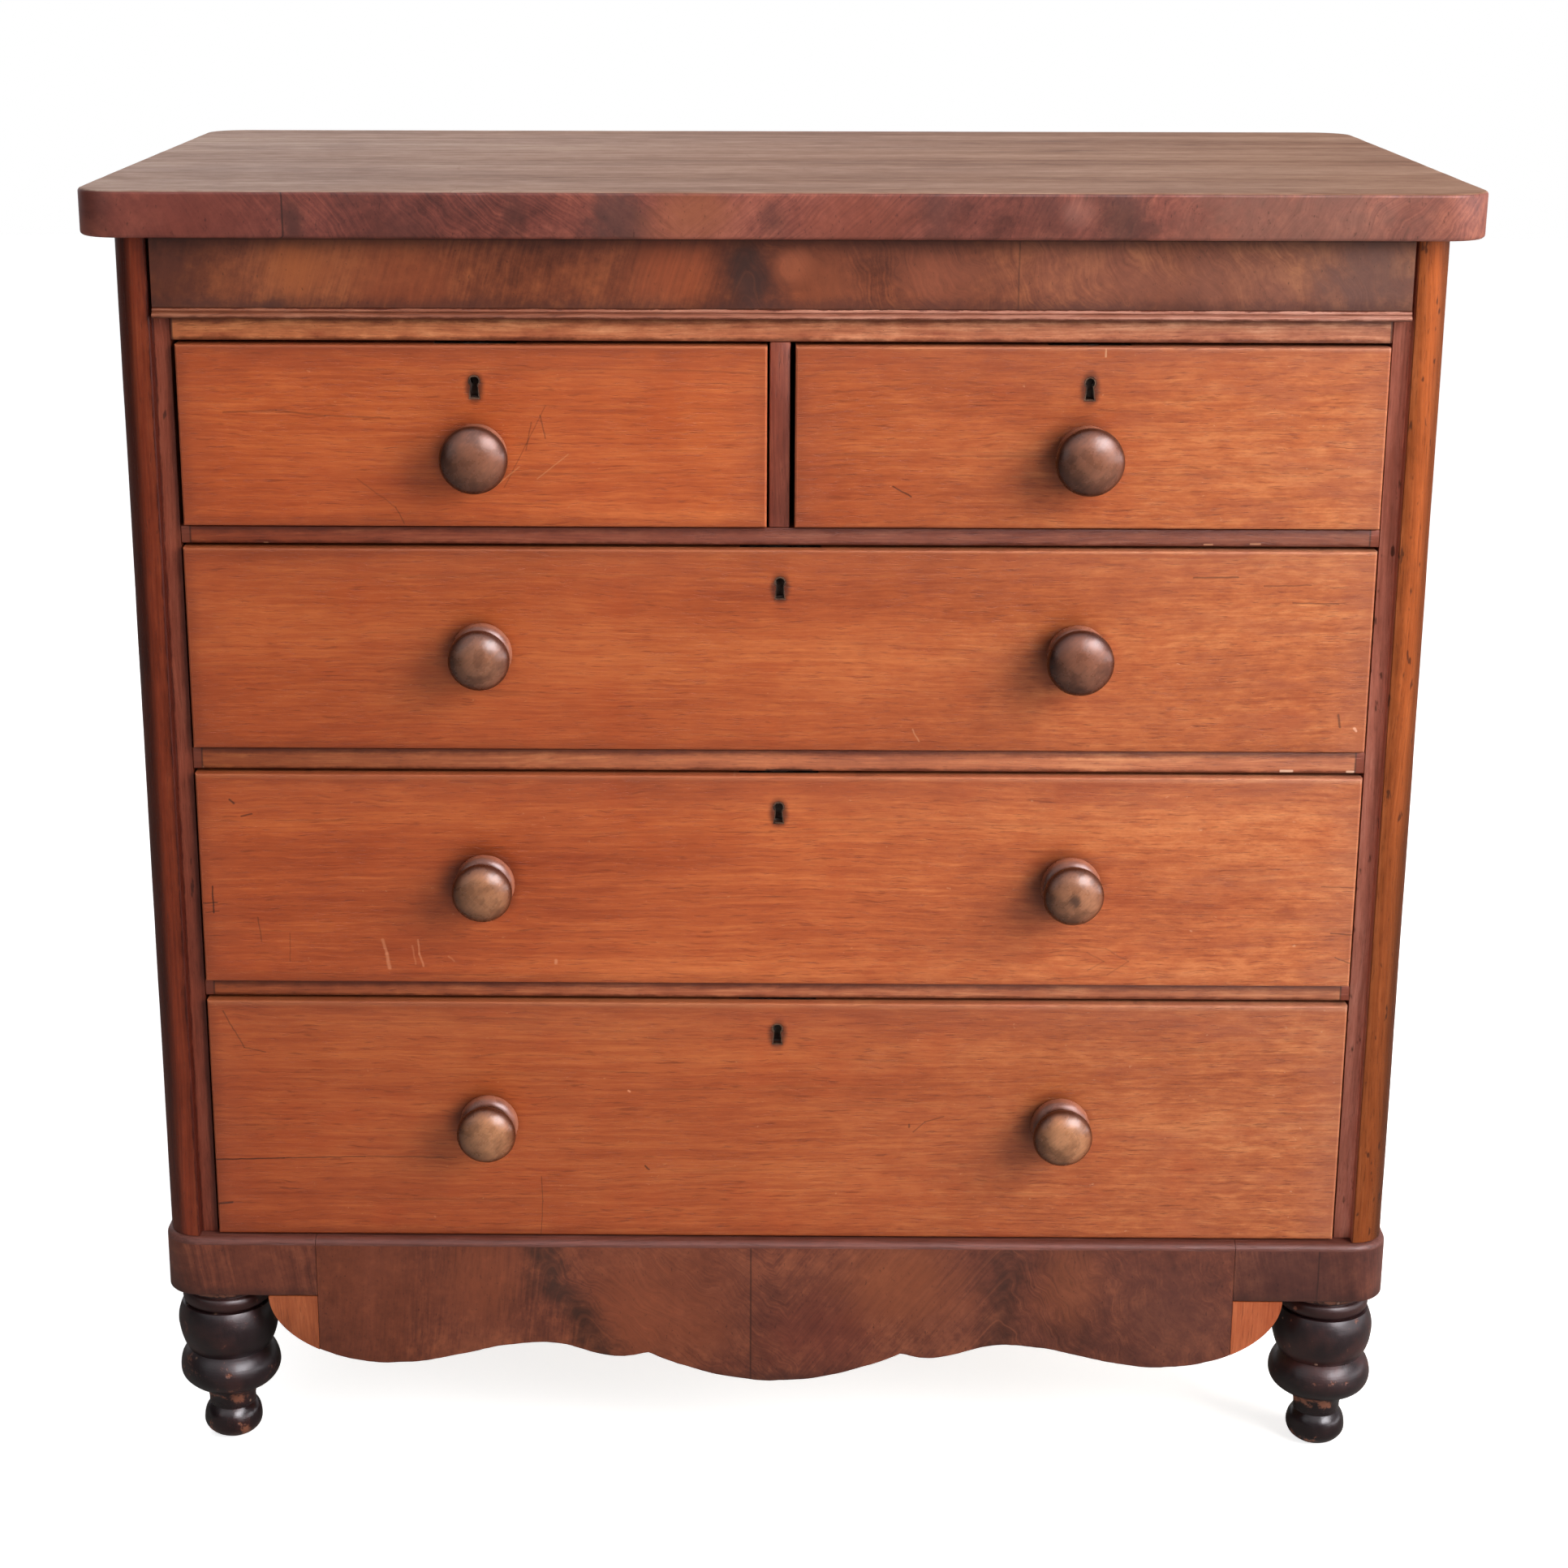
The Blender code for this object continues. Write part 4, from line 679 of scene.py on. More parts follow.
def knob_polish(name, dark, pale, worn_share, spot=0.0):
    """Dark polished knob; the hand has rubbed its dome pale. Its own origin is its foot."""
    s = Shade(name)
    at = s.place()
    own = s.shift(at, s.scale(s.node("ObjectInfo").outputs["Location"], (7.0, 7.0, 7.0)))
    x, y, z = s.split(at)
    radius = s.length(s.join(x, y, 0.0))
    slant = s.join(s.add(x, y), s.sub(x, y), z)
    streak = s.noise(slant, (70.0, 460.0, 90.0), 4.0, 0.7)
    rings = s.noise(s.join(s.mul(radius, 520.0), s.mul(z, 500.0), 0.0), 1.0)
    patch = s.noise(own, 62.0, 4.0, 0.6)
    tone = s.total((patch, 0.44), (streak, 0.4), (rings, 0.16))
    polished = s.ramp(tone, (0.34, 0.5, 0.66), (toned(dark, 0.55), dark, toned(dark, 1.45)))
    bare = s.ramp(tone, (0.34, 0.5, 0.66), (toned(pale, 0.6), pale, toned(pale, 1.4)))
    rubbed = s.ease(s.mad(patch, 0.004, z), 0.0345, 0.0432)
    rubbed = s.mul(rubbed, s.span(patch, 0.3, 0.5, 0.75, 1.0))
    s.colour = s.mix(s.mul(rubbed, worn_share), polished, bare)
    # Painted shade darkens the dome's rim all round
    rim = s.mul(s.ease(z, 0.0372, 0.0312, 0.9), s.span(z, 0.016, 0.018))
    s.lay(rim, (0.024, 0.006, 0.003))
    low = s.span(z, 0.016, 0.013)
    s.lay(low, s.mix(patch, (0.085, 0.024, 0.013), (0.21, 0.068, 0.038)))
    collar = s.span(s.mad(patch, 0.003, radius), 0.0228, 0.0248, 0.0, 0.5)
    s.lay(s.mul(collar, low), (0.36, 0.145, 0.09))
    # Painted light and shade: darker to the lower left, lighter to the upper right
    lit = s.total((patch, 0.012), (y, 0.5), (x, 0.85))
    painted_light_gradient = s.span(lit, -0.018, 0.018, 0.48, 1.25, True)
    s.filter(s.same(painted_light_gradient))
    # Painted shade in the crease between dome and neck
    crease_shade = s.mul(s.span(radius, 0.02, 0.0165), s.span(z, 0.026, 0.022))
    s.lay(s.mul(crease_shade, 0.85), (0.012, 0.004, 0.002))
    # Painted shade where the collar meets the front
    s.lay(s.mul(s.span(z, 0.0028, 0.0006), 0.8), (0.015, 0.004, 0.002))
    if spot:
        centre = s.ease(s.mad(streak, 0.008, radius), 0.012, 0.005, spot)
        s.lay(s.mul(centre, s.span(z, 0.0395, 0.0405)), (0.045, 0.02, 0.013))
    gloss = s.span(patch, 0.3, 0.7, 0.2, 0.36)
    return s.finish(gloss, s.total((patch, 1.2), (streak, 0.3)), 0.00025, Specular_IOR_Level=0.55)


def foot_paint(name):
    """Black paint over red-brown wood, rubbed at the arrises and chipped at the floor."""
    s = Shade(name)
    at = s.place()
    own = s.shift(at, s.scale(s.node("ObjectInfo").outputs["Location"], (3.0, 3.0, 3.0)))
    z = s.split(at)[2]
    patch = s.noise(own, 55.0, 5.0, 0.7)
    broad = s.noise(own, 17.0)
    turned = s.noise(s.join(0.0, 0.0, s.mul(z, 900.0)), 1.0)
    paint = s.ramp(s.total((patch, 0.4), (broad, 0.6)), (0.36, 0.5, 0.66),
                   ((0.007, 0.003, 0.004), (0.014, 0.007, 0.008), (0.045, 0.014, 0.012)))
    wood = s.mix(patch, (0.1, 0.03, 0.018), (0.3, 0.11, 0.06))
    # Rubbed places: height on the foot, reach, strength
    sites = ((0.0495, 0.003, 0.3), (0.07, 0.0035, 0.05), (0.04, 0.01, 0.13),
             (0.1425, 0.005, 0.22), (0.006, 0.01, 0.14), (0.132, 0.004, 0.06))
    bare = None
    for height, reach, strength in sites:
        here = s.ease(s.gap(z, height), reach, 0.0, strength)
        bare = here if bare is None else s.sum("MAXIMUM", bare, here)
    bare = s.span(s.add(bare, patch), 0.62, 0.7)
    cells = s.node("TexVoronoi", {"Vector": own, "Scale": 120.0})
    chip = s.mul(s.span(s.mad(patch, 0.5, cells.outputs["Distance"]), 0.46, 0.36),
                 s.span(s.split(cells.outputs["Color"])[1], 0.88, 0.9))
    paint = s.mix(s.span(z, 0.124, 0.13, 0.0, 0.6), paint, (0.04, 0.012, 0.01))
    s.colour = s.mix(s.mul(bare, 0.85), paint, wood)
    s.lay(s.mul(chip, 0.8), (0.34, 0.2, 0.14))
    gloss = s.span(s.mad(s.span(z, 0.034, 0.028), -0.4, patch), 0.0, 0.7, 0.16, 0.42)
    height = s.total((patch, 1.2), (turned, 0.25), (bare, -0.8))
    return s.finish(gloss, height, 0.0003, Specular_IOR_Level=0.45)


def top_polish(name, seed):
    """Worn top: long grain under a greyed, scratched and cloudy polish."""
    s = Shade(name)
    at = s.place()
    p = s.shift(at, (seed, seed, 0.0))
    band, fibre, pore, _ = grain(s, p, "X", 26.0)
    cloud = s.noise(p, (2.6, 7.0, 1.0), 3.0, 0.6)
    tone = s.total((cloud, 0.45), (fibre, 0.36), (band, 0.62), -0.215)
    mottle = s.noise(p, (22.0, 60.0, 1.0), 4.0, 0.7)
    tone = s.mad(s.sub(mottle, 0.5), 0.4, tone)
    s.colour = s.ramp(tone, (0.34, 0.5, 0.66),
                      ((0.24, 0.125, 0.085), (0.39, 0.228, 0.168), (0.53, 0.345, 0.27)))
    # Tone, painted light and sheen across: paler and cooler at the left
    tone_and_light_across(s, at, ((1.12, 1.25, 1.32), (1.0, 1.0, 0.98), (0.86, 0.8, 0.72)))
    s.lay(s.mul(pore, 0.4), (0.1, 0.05, 0.035))
    stain = s.span(s.noise(p, (5.0, 14.0, 1.0), 4.0, 0.7), 0.6, 0.74, 0.0, 0.55)
    s.lay(stain, (0.15, 0.075, 0.055))
    bent = s.shift(p, s.scale(s.join(cloud, fibre, 0.0), (0.05, 0.002, 0.0)))
    scratch = s.node("TexVoronoi", {"Vector": bent, "Scale": 9.0},
                     feature="DISTANCE_TO_EDGE").outputs[0]
    line = s.mul(s.span(scratch, 0.006, 0.002), s.span(s.noise(p, 6.0), 0.52, 0.6))
    s.lay(s.mul(line, 0.5), (0.34, 0.2, 0.14))
    gloss = s.span(s.add(cloud, s.mul(fibre, 0.3)), 0.45, 0.85, 0.46, 0.62)
    height = s.total((fibre, 0.35), (pore, -0.4), (s.noise(p, 14.0, 1.0), 2.0))
    return s.finish(gloss, height, 0.00025, Specular_IOR_Level=0.04)


def plain_wood(name, tones, axis, bands=18.0, board=0.0):
    """Bare softwood or lining timber; upright boards, where given, are of that width."""
    s = Shade(name)
    p = s.place()
    joint, wide = 0.0, p
    if board:
        along = s.sum("DIVIDE", s.split(p)[0], board)
        number = s.sum("FLOOR", along)
        joint = s.span(s.gap(s.sub(along, number), 0.5), 0.488, 0.495)
        p = s.shift(p, s.scale(s.join(0.0, number, number), (0.0, 0.9, 3.7)))
    warp = s.noise(p, stretch(axis, 1.1, 6.0), 1.0)
    q = s.shift(p, s.scale(s.same(warp), stretch(axis, 0.0, 0.05)))
    band = s.noise(q, stretch(axis, 0.6, bands), 3.0, 0.55)
    ring = s.sum("ABSOLUTE", s.sum("SINE", s.mul(band, 46.0)))
    fibre = s.noise(q, stretch(axis, 12.0, 420.0))
    dust = s.noise(p, 7.0, 4.0, 0.6)
    tone = s.mad(ring, 0.24, s.mad(fibre, 0.5, 0.06))
    s.colour = s.ramp(tone, (0.15, 0.45, 0.75), tones[::-1])
    s.lay(s.span(dust, 0.45, 0.75, 0.0, 0.45), tones[0])
    if board:
        knot = s.node("TexVoronoi", {"Vector": s.scale(p, (7.0, 1.0, 3.2)), "Scale": 1.0})
        core = s.mul(s.span(knot.outputs["Distance"], 0.13, 0.07),
                     s.span(s.split(knot.outputs["Color"])[0], 0.62, 0.66))
        s.lay(s.mul(core, 0.8), (0.1, 0.045, 0.022))
        lit = s.span(s.noise(s.join(number, 0.0, 0.0), 7.3, 0.0), 0.3, 0.7, 0.72, 1.15)
        s.filter(s.same(lit))
        smoke = s.span(s.noise(wide, 3.0, 3.0, 0.6), 0.4, 0.7, 0.0, 0.5)
        s.lay(smoke, (0.12, 0.065, 0.035))
        s.lay(joint, (0.02, 0.01, 0.006))
    return s.finish(s.span(fibre, 0.3, 0.7, 0.7, 0.82), s.mad(joint, -3.0, fibre), 0.0004,
                    Specular_IOR_Level=0.2)


def metal(name, bright, dull, rough):
    """Old metal, bright where it is rubbed."""
    s = Shade(name)
    p = s.place()
    patch = s.noise(p, 90.0, 4.0, 0.6)
    fine = s.noise(p, 900.0, 3.0, 0.6)
    s.colour = s.mix(s.span(patch, 0.4, 0.62), bright, dull)
    return s.finish(s.span(patch, 0.3, 0.7, rough, rough + 0.25), fine, 0.0001, Metallic=0.85)


# Shapes

def settle(name, bm, body, materials, node, location=(0.0, 0.0, 0.0), turn=0.0):
    """Turn a bmesh into a piece that rides a body and stands for a CAD node."""
    bmesh.ops.recalc_face_normals(bm, faces=bm.faces)
    mesh = bpy.data.meshes.new(name)
    bm.to_mesh(mesh)
    bm.free()
    mesh.shade_smooth()
    mesh.set_sharp_from_angle(angle=math.radians(35))
    for material in materials:
        mesh.materials.append(material)
    piece = bpy.data.objects.new(name, mesh)
    piece.location = location
    piece.rotation_euler.x = math.radians(turn)
    bpy.context.scene.collection.objects.link(piece)
    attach(piece, body)
    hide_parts(node)


def lathe(profile, segments, wobble, seed):
    """Turn a profile of (radius, height) points, a little out of true by wobble."""
    bm = bmesh.new()
    rings = []
    for radius, height in profile:
        if radius < 0.000001:
            rings.append([bm.verts.new((0.0, 0.0, height))])
            continue
        ring = []
        for i in range(segments):
            angle = 2 * math.pi * i / segments
            spot = Vector((math.cos(angle) * 1.7 + seed, math.sin(angle) * 1.7, height * 70.0))
            far = radius - wobble * max(0.0, 0.3 + noise.noise(spot))
            ring.append(bm.verts.new((far * math.cos(angle), far * math.sin(angle), height)))
        rings.append(ring)
    for low, high in zip(rings, rings[1:]):
        for i in range(segments):
            j = (i + 1) % segments
            if len(low) == 1:
                bm.faces.new((low[0], high[i], high[j]))
            elif len(high) == 1:
                bm.faces.new((low[i], high[0], low[j]))
            else:
                bm.faces.new((low[i], high[i], high[j], low[j]))
    return bm


def curve(heights, radii, sweeps, steps):
    """Round swelling from its top over its widest place to its foot."""
    halves = []
    for end, edge, sweep in ((heights[0], radii[0], math.radians(sweeps[0])),
                             (heights[2], radii[2], math.radians(sweeps[1]))):
        half = []
        for i in range(steps + 1):
            angle = sweep * i / steps
            fall = (1 - math.cos(angle)) / (1 - math.cos(sweep))
            rise = math.sin(angle) / math.sin(sweep)
            half.append((radii[1] + (edge - radii[1]) * fall,
                         heights[1] + (end - heights[1]) * rise))
        halves.append(half)
    return halves[0][::-1] + halves[1][1:]


def skin(loops):
    """Close a stack of equally long loops into one solid."""
    bm = bmesh.new()
    rings = [[bm.verts.new(point) for point in loop] for loop in loops]
    count = len(rings[0])
    for low, high in zip(rings, rings[1:]):
        for i in range(count):
            j = (i + 1) % count
            bm.faces.new((low[i], low[j], high[j], high[i]))
    bm.faces.new(rings[0][::-1])
    bm.faces.new(rings[-1])
    return bm


def upper_slot(bm, height, above, below):
    """Give the faces over a height one material slot and the rest the other."""
    for face in bm.faces:
        face.material_index = above if face.calc_center_median().z > height else below


def flats(bm):
    """Split the flat ends, which have many corners, into triangles."""
    bmesh.ops.triangulate(bm, faces=[face for face in bm.faces if len(face.verts) > 4])


def fallen(radius, reach):
    """How far a rounded arris has fallen back at a reach from its edge."""
    return radius - math.sqrt(max(0.0, radius ** 2 - max(0.0, radius - reach) ** 2))


def worn(place, amount, size=0.03):
    """How far an arris is worn back at a place."""
    rough = noise.noise(Vector(place) / size) + 0.5 * noise.noise(Vector(place) * 3.1 / size)
    return amount * max(0.0, 0.35 + rough)


def stations(start, end, step):
    """Even places from start to end, about a step apart."""
    count = max(1, round(abs(end - start) / step))
    return [start + (end - start) * i / count for i in range(count + 1)]


def quarter(radius, steps):
    """Inset and fall along a quarter round, from the flat face to the side."""
    return [(radius * (1 - math.sin(math.pi / 2 * i / steps)),
             radius * (1 - math.cos(math.pi / 2 * i / steps))) for i in range(steps + 1)]


def plan(low, high, radius, inset):
    """Rounded rectangle, in from its box by inset; each point with its way out."""
    step, turns = 0.008, 10
    points = []
    corners = ((high.x, low.y, -90), (high.x, high.y, 0), (low.x, high.y, 90), (low.x, low.y, 180))
    for n, (x, y, start) in enumerate(corners):
        centre = Vector((x - math.copysign(radius, x), y - math.copysign(radius, y)))
        for i in range(turns + 1):
            angle = math.radians(start + 90 * i / turns)
            out = Vector((math.cos(angle), math.sin(angle)))
            points.append((centre + out * (radius - inset), out))
        nx, ny, _ = corners[(n + 1) % 4]
        after = Vector((nx - math.copysign(radius, nx), ny - math.copysign(radius, ny)))
        first = centre + out * (radius - inset)
        run = after - centre
        count = round(run.length / step)
        points += [(first + run * i / count, out) for i in range(1, count)]
    return points


def make_top(materials):
    """Top board with its rounded corners, worn arrises and a few chips."""
    low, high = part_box("top_board")
    corner, arris, flat_in = 0.035, 0.003, 0.01
    levels = [(flat_in, low.z)]
    levels += [(inset, low.z + fall) for inset, fall in quarter(arris, 4)]
    levels += [(inset, high.z - fall) for inset, fall in reversed(quarter(arris, 6))]
    levels += [(flat_in, high.z)]
    # Chips along the upper front arris: place, depth, width
    chips = ((-0.215, 0.0016, 0.004), (0.083, 0.002, 0.003), (0.307, 0.0012, 0.006),
             (-0.437, 0.0014, 0.005), (0.452, 0.0018, 0.004))
    loops = []
    for inset, z in levels:
        loop = []
        for point, out in plan(low, high, corner, inset):
            back = worn((point.x, point.y, z * 0.3), 0.0005) if inset < flat_in else 0.0
            if out.y < -0.9 and z > high.z - 0.004 and inset < flat_in:
                for x, deep, wide in chips:
                    share = 1 - abs(inset - 0.0015) / 0.01
                    back += deep * math.exp(-((point.x - x) / wide) ** 2) * share
            edge = point - out * back
            loop.append((edge.x, edge.y, z))
        loops.append(loop)
    bm = skin(loops)
    upper_slot(bm, high.z - 0.0009, 0, 1)
    settle("top_board_worn", bm, "carcase", materials, "top_board")


def make_post(side, label, material):
    """Corner post: set-back strip, quirk and worn quarter round."""
    low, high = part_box("corner_post_" + label)
    outer, radius, deep = 0.5, 0.026, 0.03
    face = RAIL_Y - 0.01
    shape = [(STRIP_X, RAIL_Y), (QUIRK_X - 0.0006, RAIL_Y), (QUIRK_X, RAIL_Y - 0.0008),
             (QUIRK_X, face + 0.0008), (QUIRK_X + 0.0008, face)]
    start = len(shape)
    for i in range(19):
        angle = math.radians(-90 + 90 * i / 18)
        shape.append((outer - radius + radius * math.cos(angle),
                      face + radius + radius * math.sin(angle)))
    shape += [(outer, RAIL_Y + deep), (STRIP_X, RAIL_Y + deep)]
    loops = []
    for z in stations(low.z, high.z, 0.012):
        loop = []
        for n, (x, y) in enumerate(shape):
            if start <= n <= start + 16:
                back = worn((x * side, y, z * 0.4), 0.0006, 0.05)
                x, y = x - back * 0.5, y + back * 0.6
            loop.append((side * x, y, z))
        loops.append(loop)
    settle("round_post_" + label, skin(loops), "carcase", [material], "corner_post_" + label)


def make_frieze(material, bead):
    """Veneered frieze with its double bead, cut round the posts' strips behind."""
    low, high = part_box("frieze")
    face = RAIL_Y - 0.012
    front = [(face, high.z), (face, low.z + 0.0082), (face + 0.0004, low.z + 0.0077)]
    # Small and large bead: half turn, steps, how far it stands out, middle and half height
    for turn, steps, out, middle, half in ((80, 8, 0.0015, 0.0061, 0.0015),
                                           (82, 10, 0.004, 0.0023, 0.0023)):
        for i in range(steps + 1):
            angle = math.radians(turn - 2 * turn * i / steps)
            front.append((face - out * math.cos(angle), low.z + middle + half * math.sin(angle)))
    loops = []
    for x in stations(low.x, high.x, 0.008):
        back = RAIL_Y + (-0.0003 if abs(x) > STRIP_X - 0.0003 else 0.012)
        loop = [(x, back, low.z), (x, back, high.z)]
        for n, (y, z) in enumerate(front):
            dent = worn((x, n * 0.002, 0.0), 0.0004, 0.02) if n > 3 else 0.0
            loop.append((x, y + dent, z))
        loops.append(loop)
    bm = skin(loops)
    for piece in bm.faces:
        centre = piece.calc_center_median()
        piece.material_index = int(centre.z < low.z + 0.0079 and centre.y < face + 0.001)
    settle("frieze_with_bead", bm, "carcase", [material, bead], "frieze")


def make_plinth(side, label, materials):
    """Plinth moulding from its joint round the corner to the back."""
    low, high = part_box("plinth_" + label)
    half, front, radius = 0.504, RAIL_Y - 0.014, 0.03
    back = high.y
    outer = [((x, front), (0.0, -1.0)) for x in stations(JOINT_X, half - radius, 0.008)]
    for i in range(1, 21):
        angle = math.radians(-90 + 90 * i / 20)
        way = (math.cos(angle), math.sin(angle))
        outer.append(((half - radius + radius * way[0], front + radius + radius * way[1]), way))
    outer += [((half, y), (1.0, 0.0)) for y in stations(front + radius + 0.004, back, 0.01)]
    inner = [(half - BOARD, back), (half - BOARD, front + BOARD), (JOINT_X, front + BOARD)]
    levels = [(inset, low.z + fall) for inset, fall in quarter(0.0012, 3)]
    levels += [(inset, high.z - fall) for inset, fall in reversed(quarter(0.006, 8))]
    loops = []
    for inset, z in levels:
        loop = []
        for (x, y), (ox, oy) in outer:
            cut = inset + worn((x * side, y, z), 0.0004, 0.025)
            loop.append((side * (x - ox * cut), y - oy * cut, z))
        loops.append(loop + [(side * x, y, z) for x, y in inner])
    bm = skin(loops)
    upper_slot(bm, high.z - LIP, 1, 0)
    settle("round_plinth_" + label, bm, "carcase", materials, "plinth_" + label)


def apron_edge(x):
    """Height of the apron's lower edge, by distance from the middle."""
    drop, step, crest, dip = (0.105, 0.05), (0.127, 0.054), (0.19, 0.0415), (0.318, 0.0613)

    def wave(start, end):
        share = (x - start[0]) / (end[0] - start[0])
        return FOOT_Z - (start[1] + (end[1] - start[1]) * (1 - math.cos(math.pi * share)) / 2)

    x = abs(x)
    if x < drop[0]:
        return FOOT_Z - 0.0756 + 0.0256 * (x / drop[0]) ** 1.9
    if x < step[0]:
        return FOOT_Z - drop[1] - 0.004 * math.sin(math.pi / 2 * (x - drop[0]) / 0.022)
    if x < crest[0]:
        return wave(step, crest)
    if x < dip[0]:
        return wave(crest, dip)
    share = min(1.0, (x - dip[0]) / (EAR_X - dip[0]))
    return FOOT_Z - dip[1] * math.sqrt(1 - share * share)


def make_apron(materials):
    """Shaped apron with a rounded top lip and worn lower arrises."""
    low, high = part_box("apron_board")
    xs = stations(low.x, high.x, 0.004)
    loops = []
    for y in (0.0, 0.0002, 0.0005, 0.0009, 0.0014, 0.002, 0.003, 0.0045, 0.006,
              0.0206, 0.0212, 0.0217, BOARD):
        lip = fallen(0.006, y)
        toe = fallen(0.0014, min(y, BOARD - y))
        loop = []
        for x in xs:
            eaten = worn((x, 0.0, 0.0), 0.0007, 0.02) if y < 0.003 else 0.0
            loop.append((x, low.y + y, apron_edge(x) + toe + eaten))
        loops.append(loop + [(x, low.y + y, high.z - lip) for x in reversed(xs)])
    bm = skin(loops)
    upper_slot(bm, high.z - LIP, 1, 0)
    flats(bm)
    settle("shaped_apron", bm, "carcase", materials, "apron_board")


def make_ear(side, label, material):
    """Infill beside a foot, which ends the apron's wave."""
    low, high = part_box("apron_ear_" + label)
    count = 26
    xs = [JOINT_X + (EAR_X - JOINT_X) * math.sin(math.pi / 2 * i / count) for i in range(count)]
    loops = []
    for y in (0.0, 0.0004, 0.001, 0.0018, 0.0204, 0.0212, BOARD):
        toe = fallen(0.0012, min(y, BOARD - y))
        loop = [(side * x, low.y + y, min(high.z - 0.0002, apron_edge(x) + toe)) for x in xs]
        loop += [(side * (EAR_X - toe), low.y + y, high.z), (side * JOINT_X, low.y + y, high.z)]
        loops.append(loop)
    bm = skin(loops)
    flats(bm)
    settle("pale_ear_" + label, bm, "carcase", [material], "apron_ear_" + label)


def soften(node, material):
    """Copy of a CAD node of the carcase with its sharp arrises eased."""
    bm = bmesh.new()
    bm.from_mesh(NODES[node].data)
    bmesh.ops.remove_doubles(bm, verts=bm.verts, dist=0.000002)
    bmesh.ops.dissolve_limit(bm, angle_limit=math.radians(0.5), verts=bm.verts, edges=bm.edges)
    sharp = [edge for edge in bm.edges
             if len(edge.link_faces) == 2 and edge.calc_face_angle() > math.radians(40)]
    bmesh.ops.bevel(bm, geom=sharp, offset=EASE, segments=2, profile=0.5, affect="EDGES",
                    clamp_overlap=True)
    settle("eased_" + node, bm, "carcase", [material], node)


def foot_profile():
    """Spigot, ring, two bulbs, neck and ball, from the top down."""
    profile = [(0.0, 0.1747), (0.014, 0.1747), (0.014, 0.1467)]
    profile += curve((0.1467, 0.1426, 0.1385), (0.034, 0.0362, 0.034), (80, 80), 5)
    profile += curve((0.1382, 0.132, 0.1255), (0.0342, 0.037, 0.0342), (75, 75), 7)
    profile += curve((0.1252, 0.108, 0.083), (0.0375, 0.0415, 0.0343), (40, 52), 12)
    profile += curve((0.0827, 0.06475, 0.0495), (0.0343, 0.0421, 0.0309), (57, 71), 12)
    profile += [(0.024, 0.0467), (0.0218, 0.043), (0.0203, 0.0385), (0.0196, 0.034)]
    profile += curve((0.0285, 0.01425, 0.0), (0.0195, 0.0246, 0.0125), (50, 70), 10)
    profile.append((0.0, 0.0))
    return profile


def knob_profile(radius):
    """Dome, neck, collar and tenon, from the front back."""
    profile = curve((0.0415, 0.03, 0.022), (0.0, radius, 0.0161), (90, 75), 14)
    profile += curve((0.0135, 0.00675, 0.0006), (0.0161, 0.0238, 0.0212), (88, 60), 9)
    profile += [(0.0065, 0.0003), (0.0065, -0.0197), (0.0, -0.0197)]
    return profile


def rail_woods():
    """Woods of the top rail, the divider and the three rails."""
    woods = {}
    low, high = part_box("top_rail")
    # Each span darkens the edges with painted shade and some grimy polish; each tint is tone,
    # painted light and sheen across from left to right
    woods["top_rail"] = mahogany(
        "top_rail_mahogany", ((0.24, 0.055, 0.025), (0.4, 0.125, 0.055), (0.58, 0.24, 0.12)),
        "X", 3.9, mottle=0.5, span=(low.z, high.z, 0.004, 0.006), ends=0.458,
        tint=((1.65, 1.65, 1.3), (1.4, 1.42, 1.45), (1.22, 1.5, 1.85)))
    woods["drawer_divider"] = mahogany(
        "divider_mahogany", ((0.09, 0.018, 0.011), (0.19, 0.04, 0.021), (0.32, 0.085, 0.042)),
        "Z", 4.3, tint=((1.0, 1.0, 1.0), (1.1, 1.2, 1.3), (1.0, 1.2, 1.5)))
    tones = ((0.13, 0.022, 0.012), (0.25, 0.05, 0.022), (0.4, 0.11, 0.05))
    # Tone, painted light and sheen across each rail from left to right
    tone_and_light_tints = {"rail_upper": ((1.18, 1.15, 0.9), (0.95, 1.4, 1.95), (0.84, 1.39, 1.9)),
             "rail_middle": ((1.25, 1.45, 1.0), (2.1, 3.3, 3.2), (1.65, 2.7, 2.9)),
             "rail_lower": ((1.5, 1.75, 1.2), (1.65, 2.35, 2.35), (1.46, 2.5, 2.7))}
    for n, (node, tint) in enumerate(tone_and_light_tints.items()):
        low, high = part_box(node)
        woods[node] = mahogany(node + "_mahogany", tones, "X", 3.1 + n, tint=tint, ends=0.452,
                               span=(low.z, high.z, 0.0032, 0.0072),
                               marks=RAIL_MARKS.get(node, ()))
    return woods


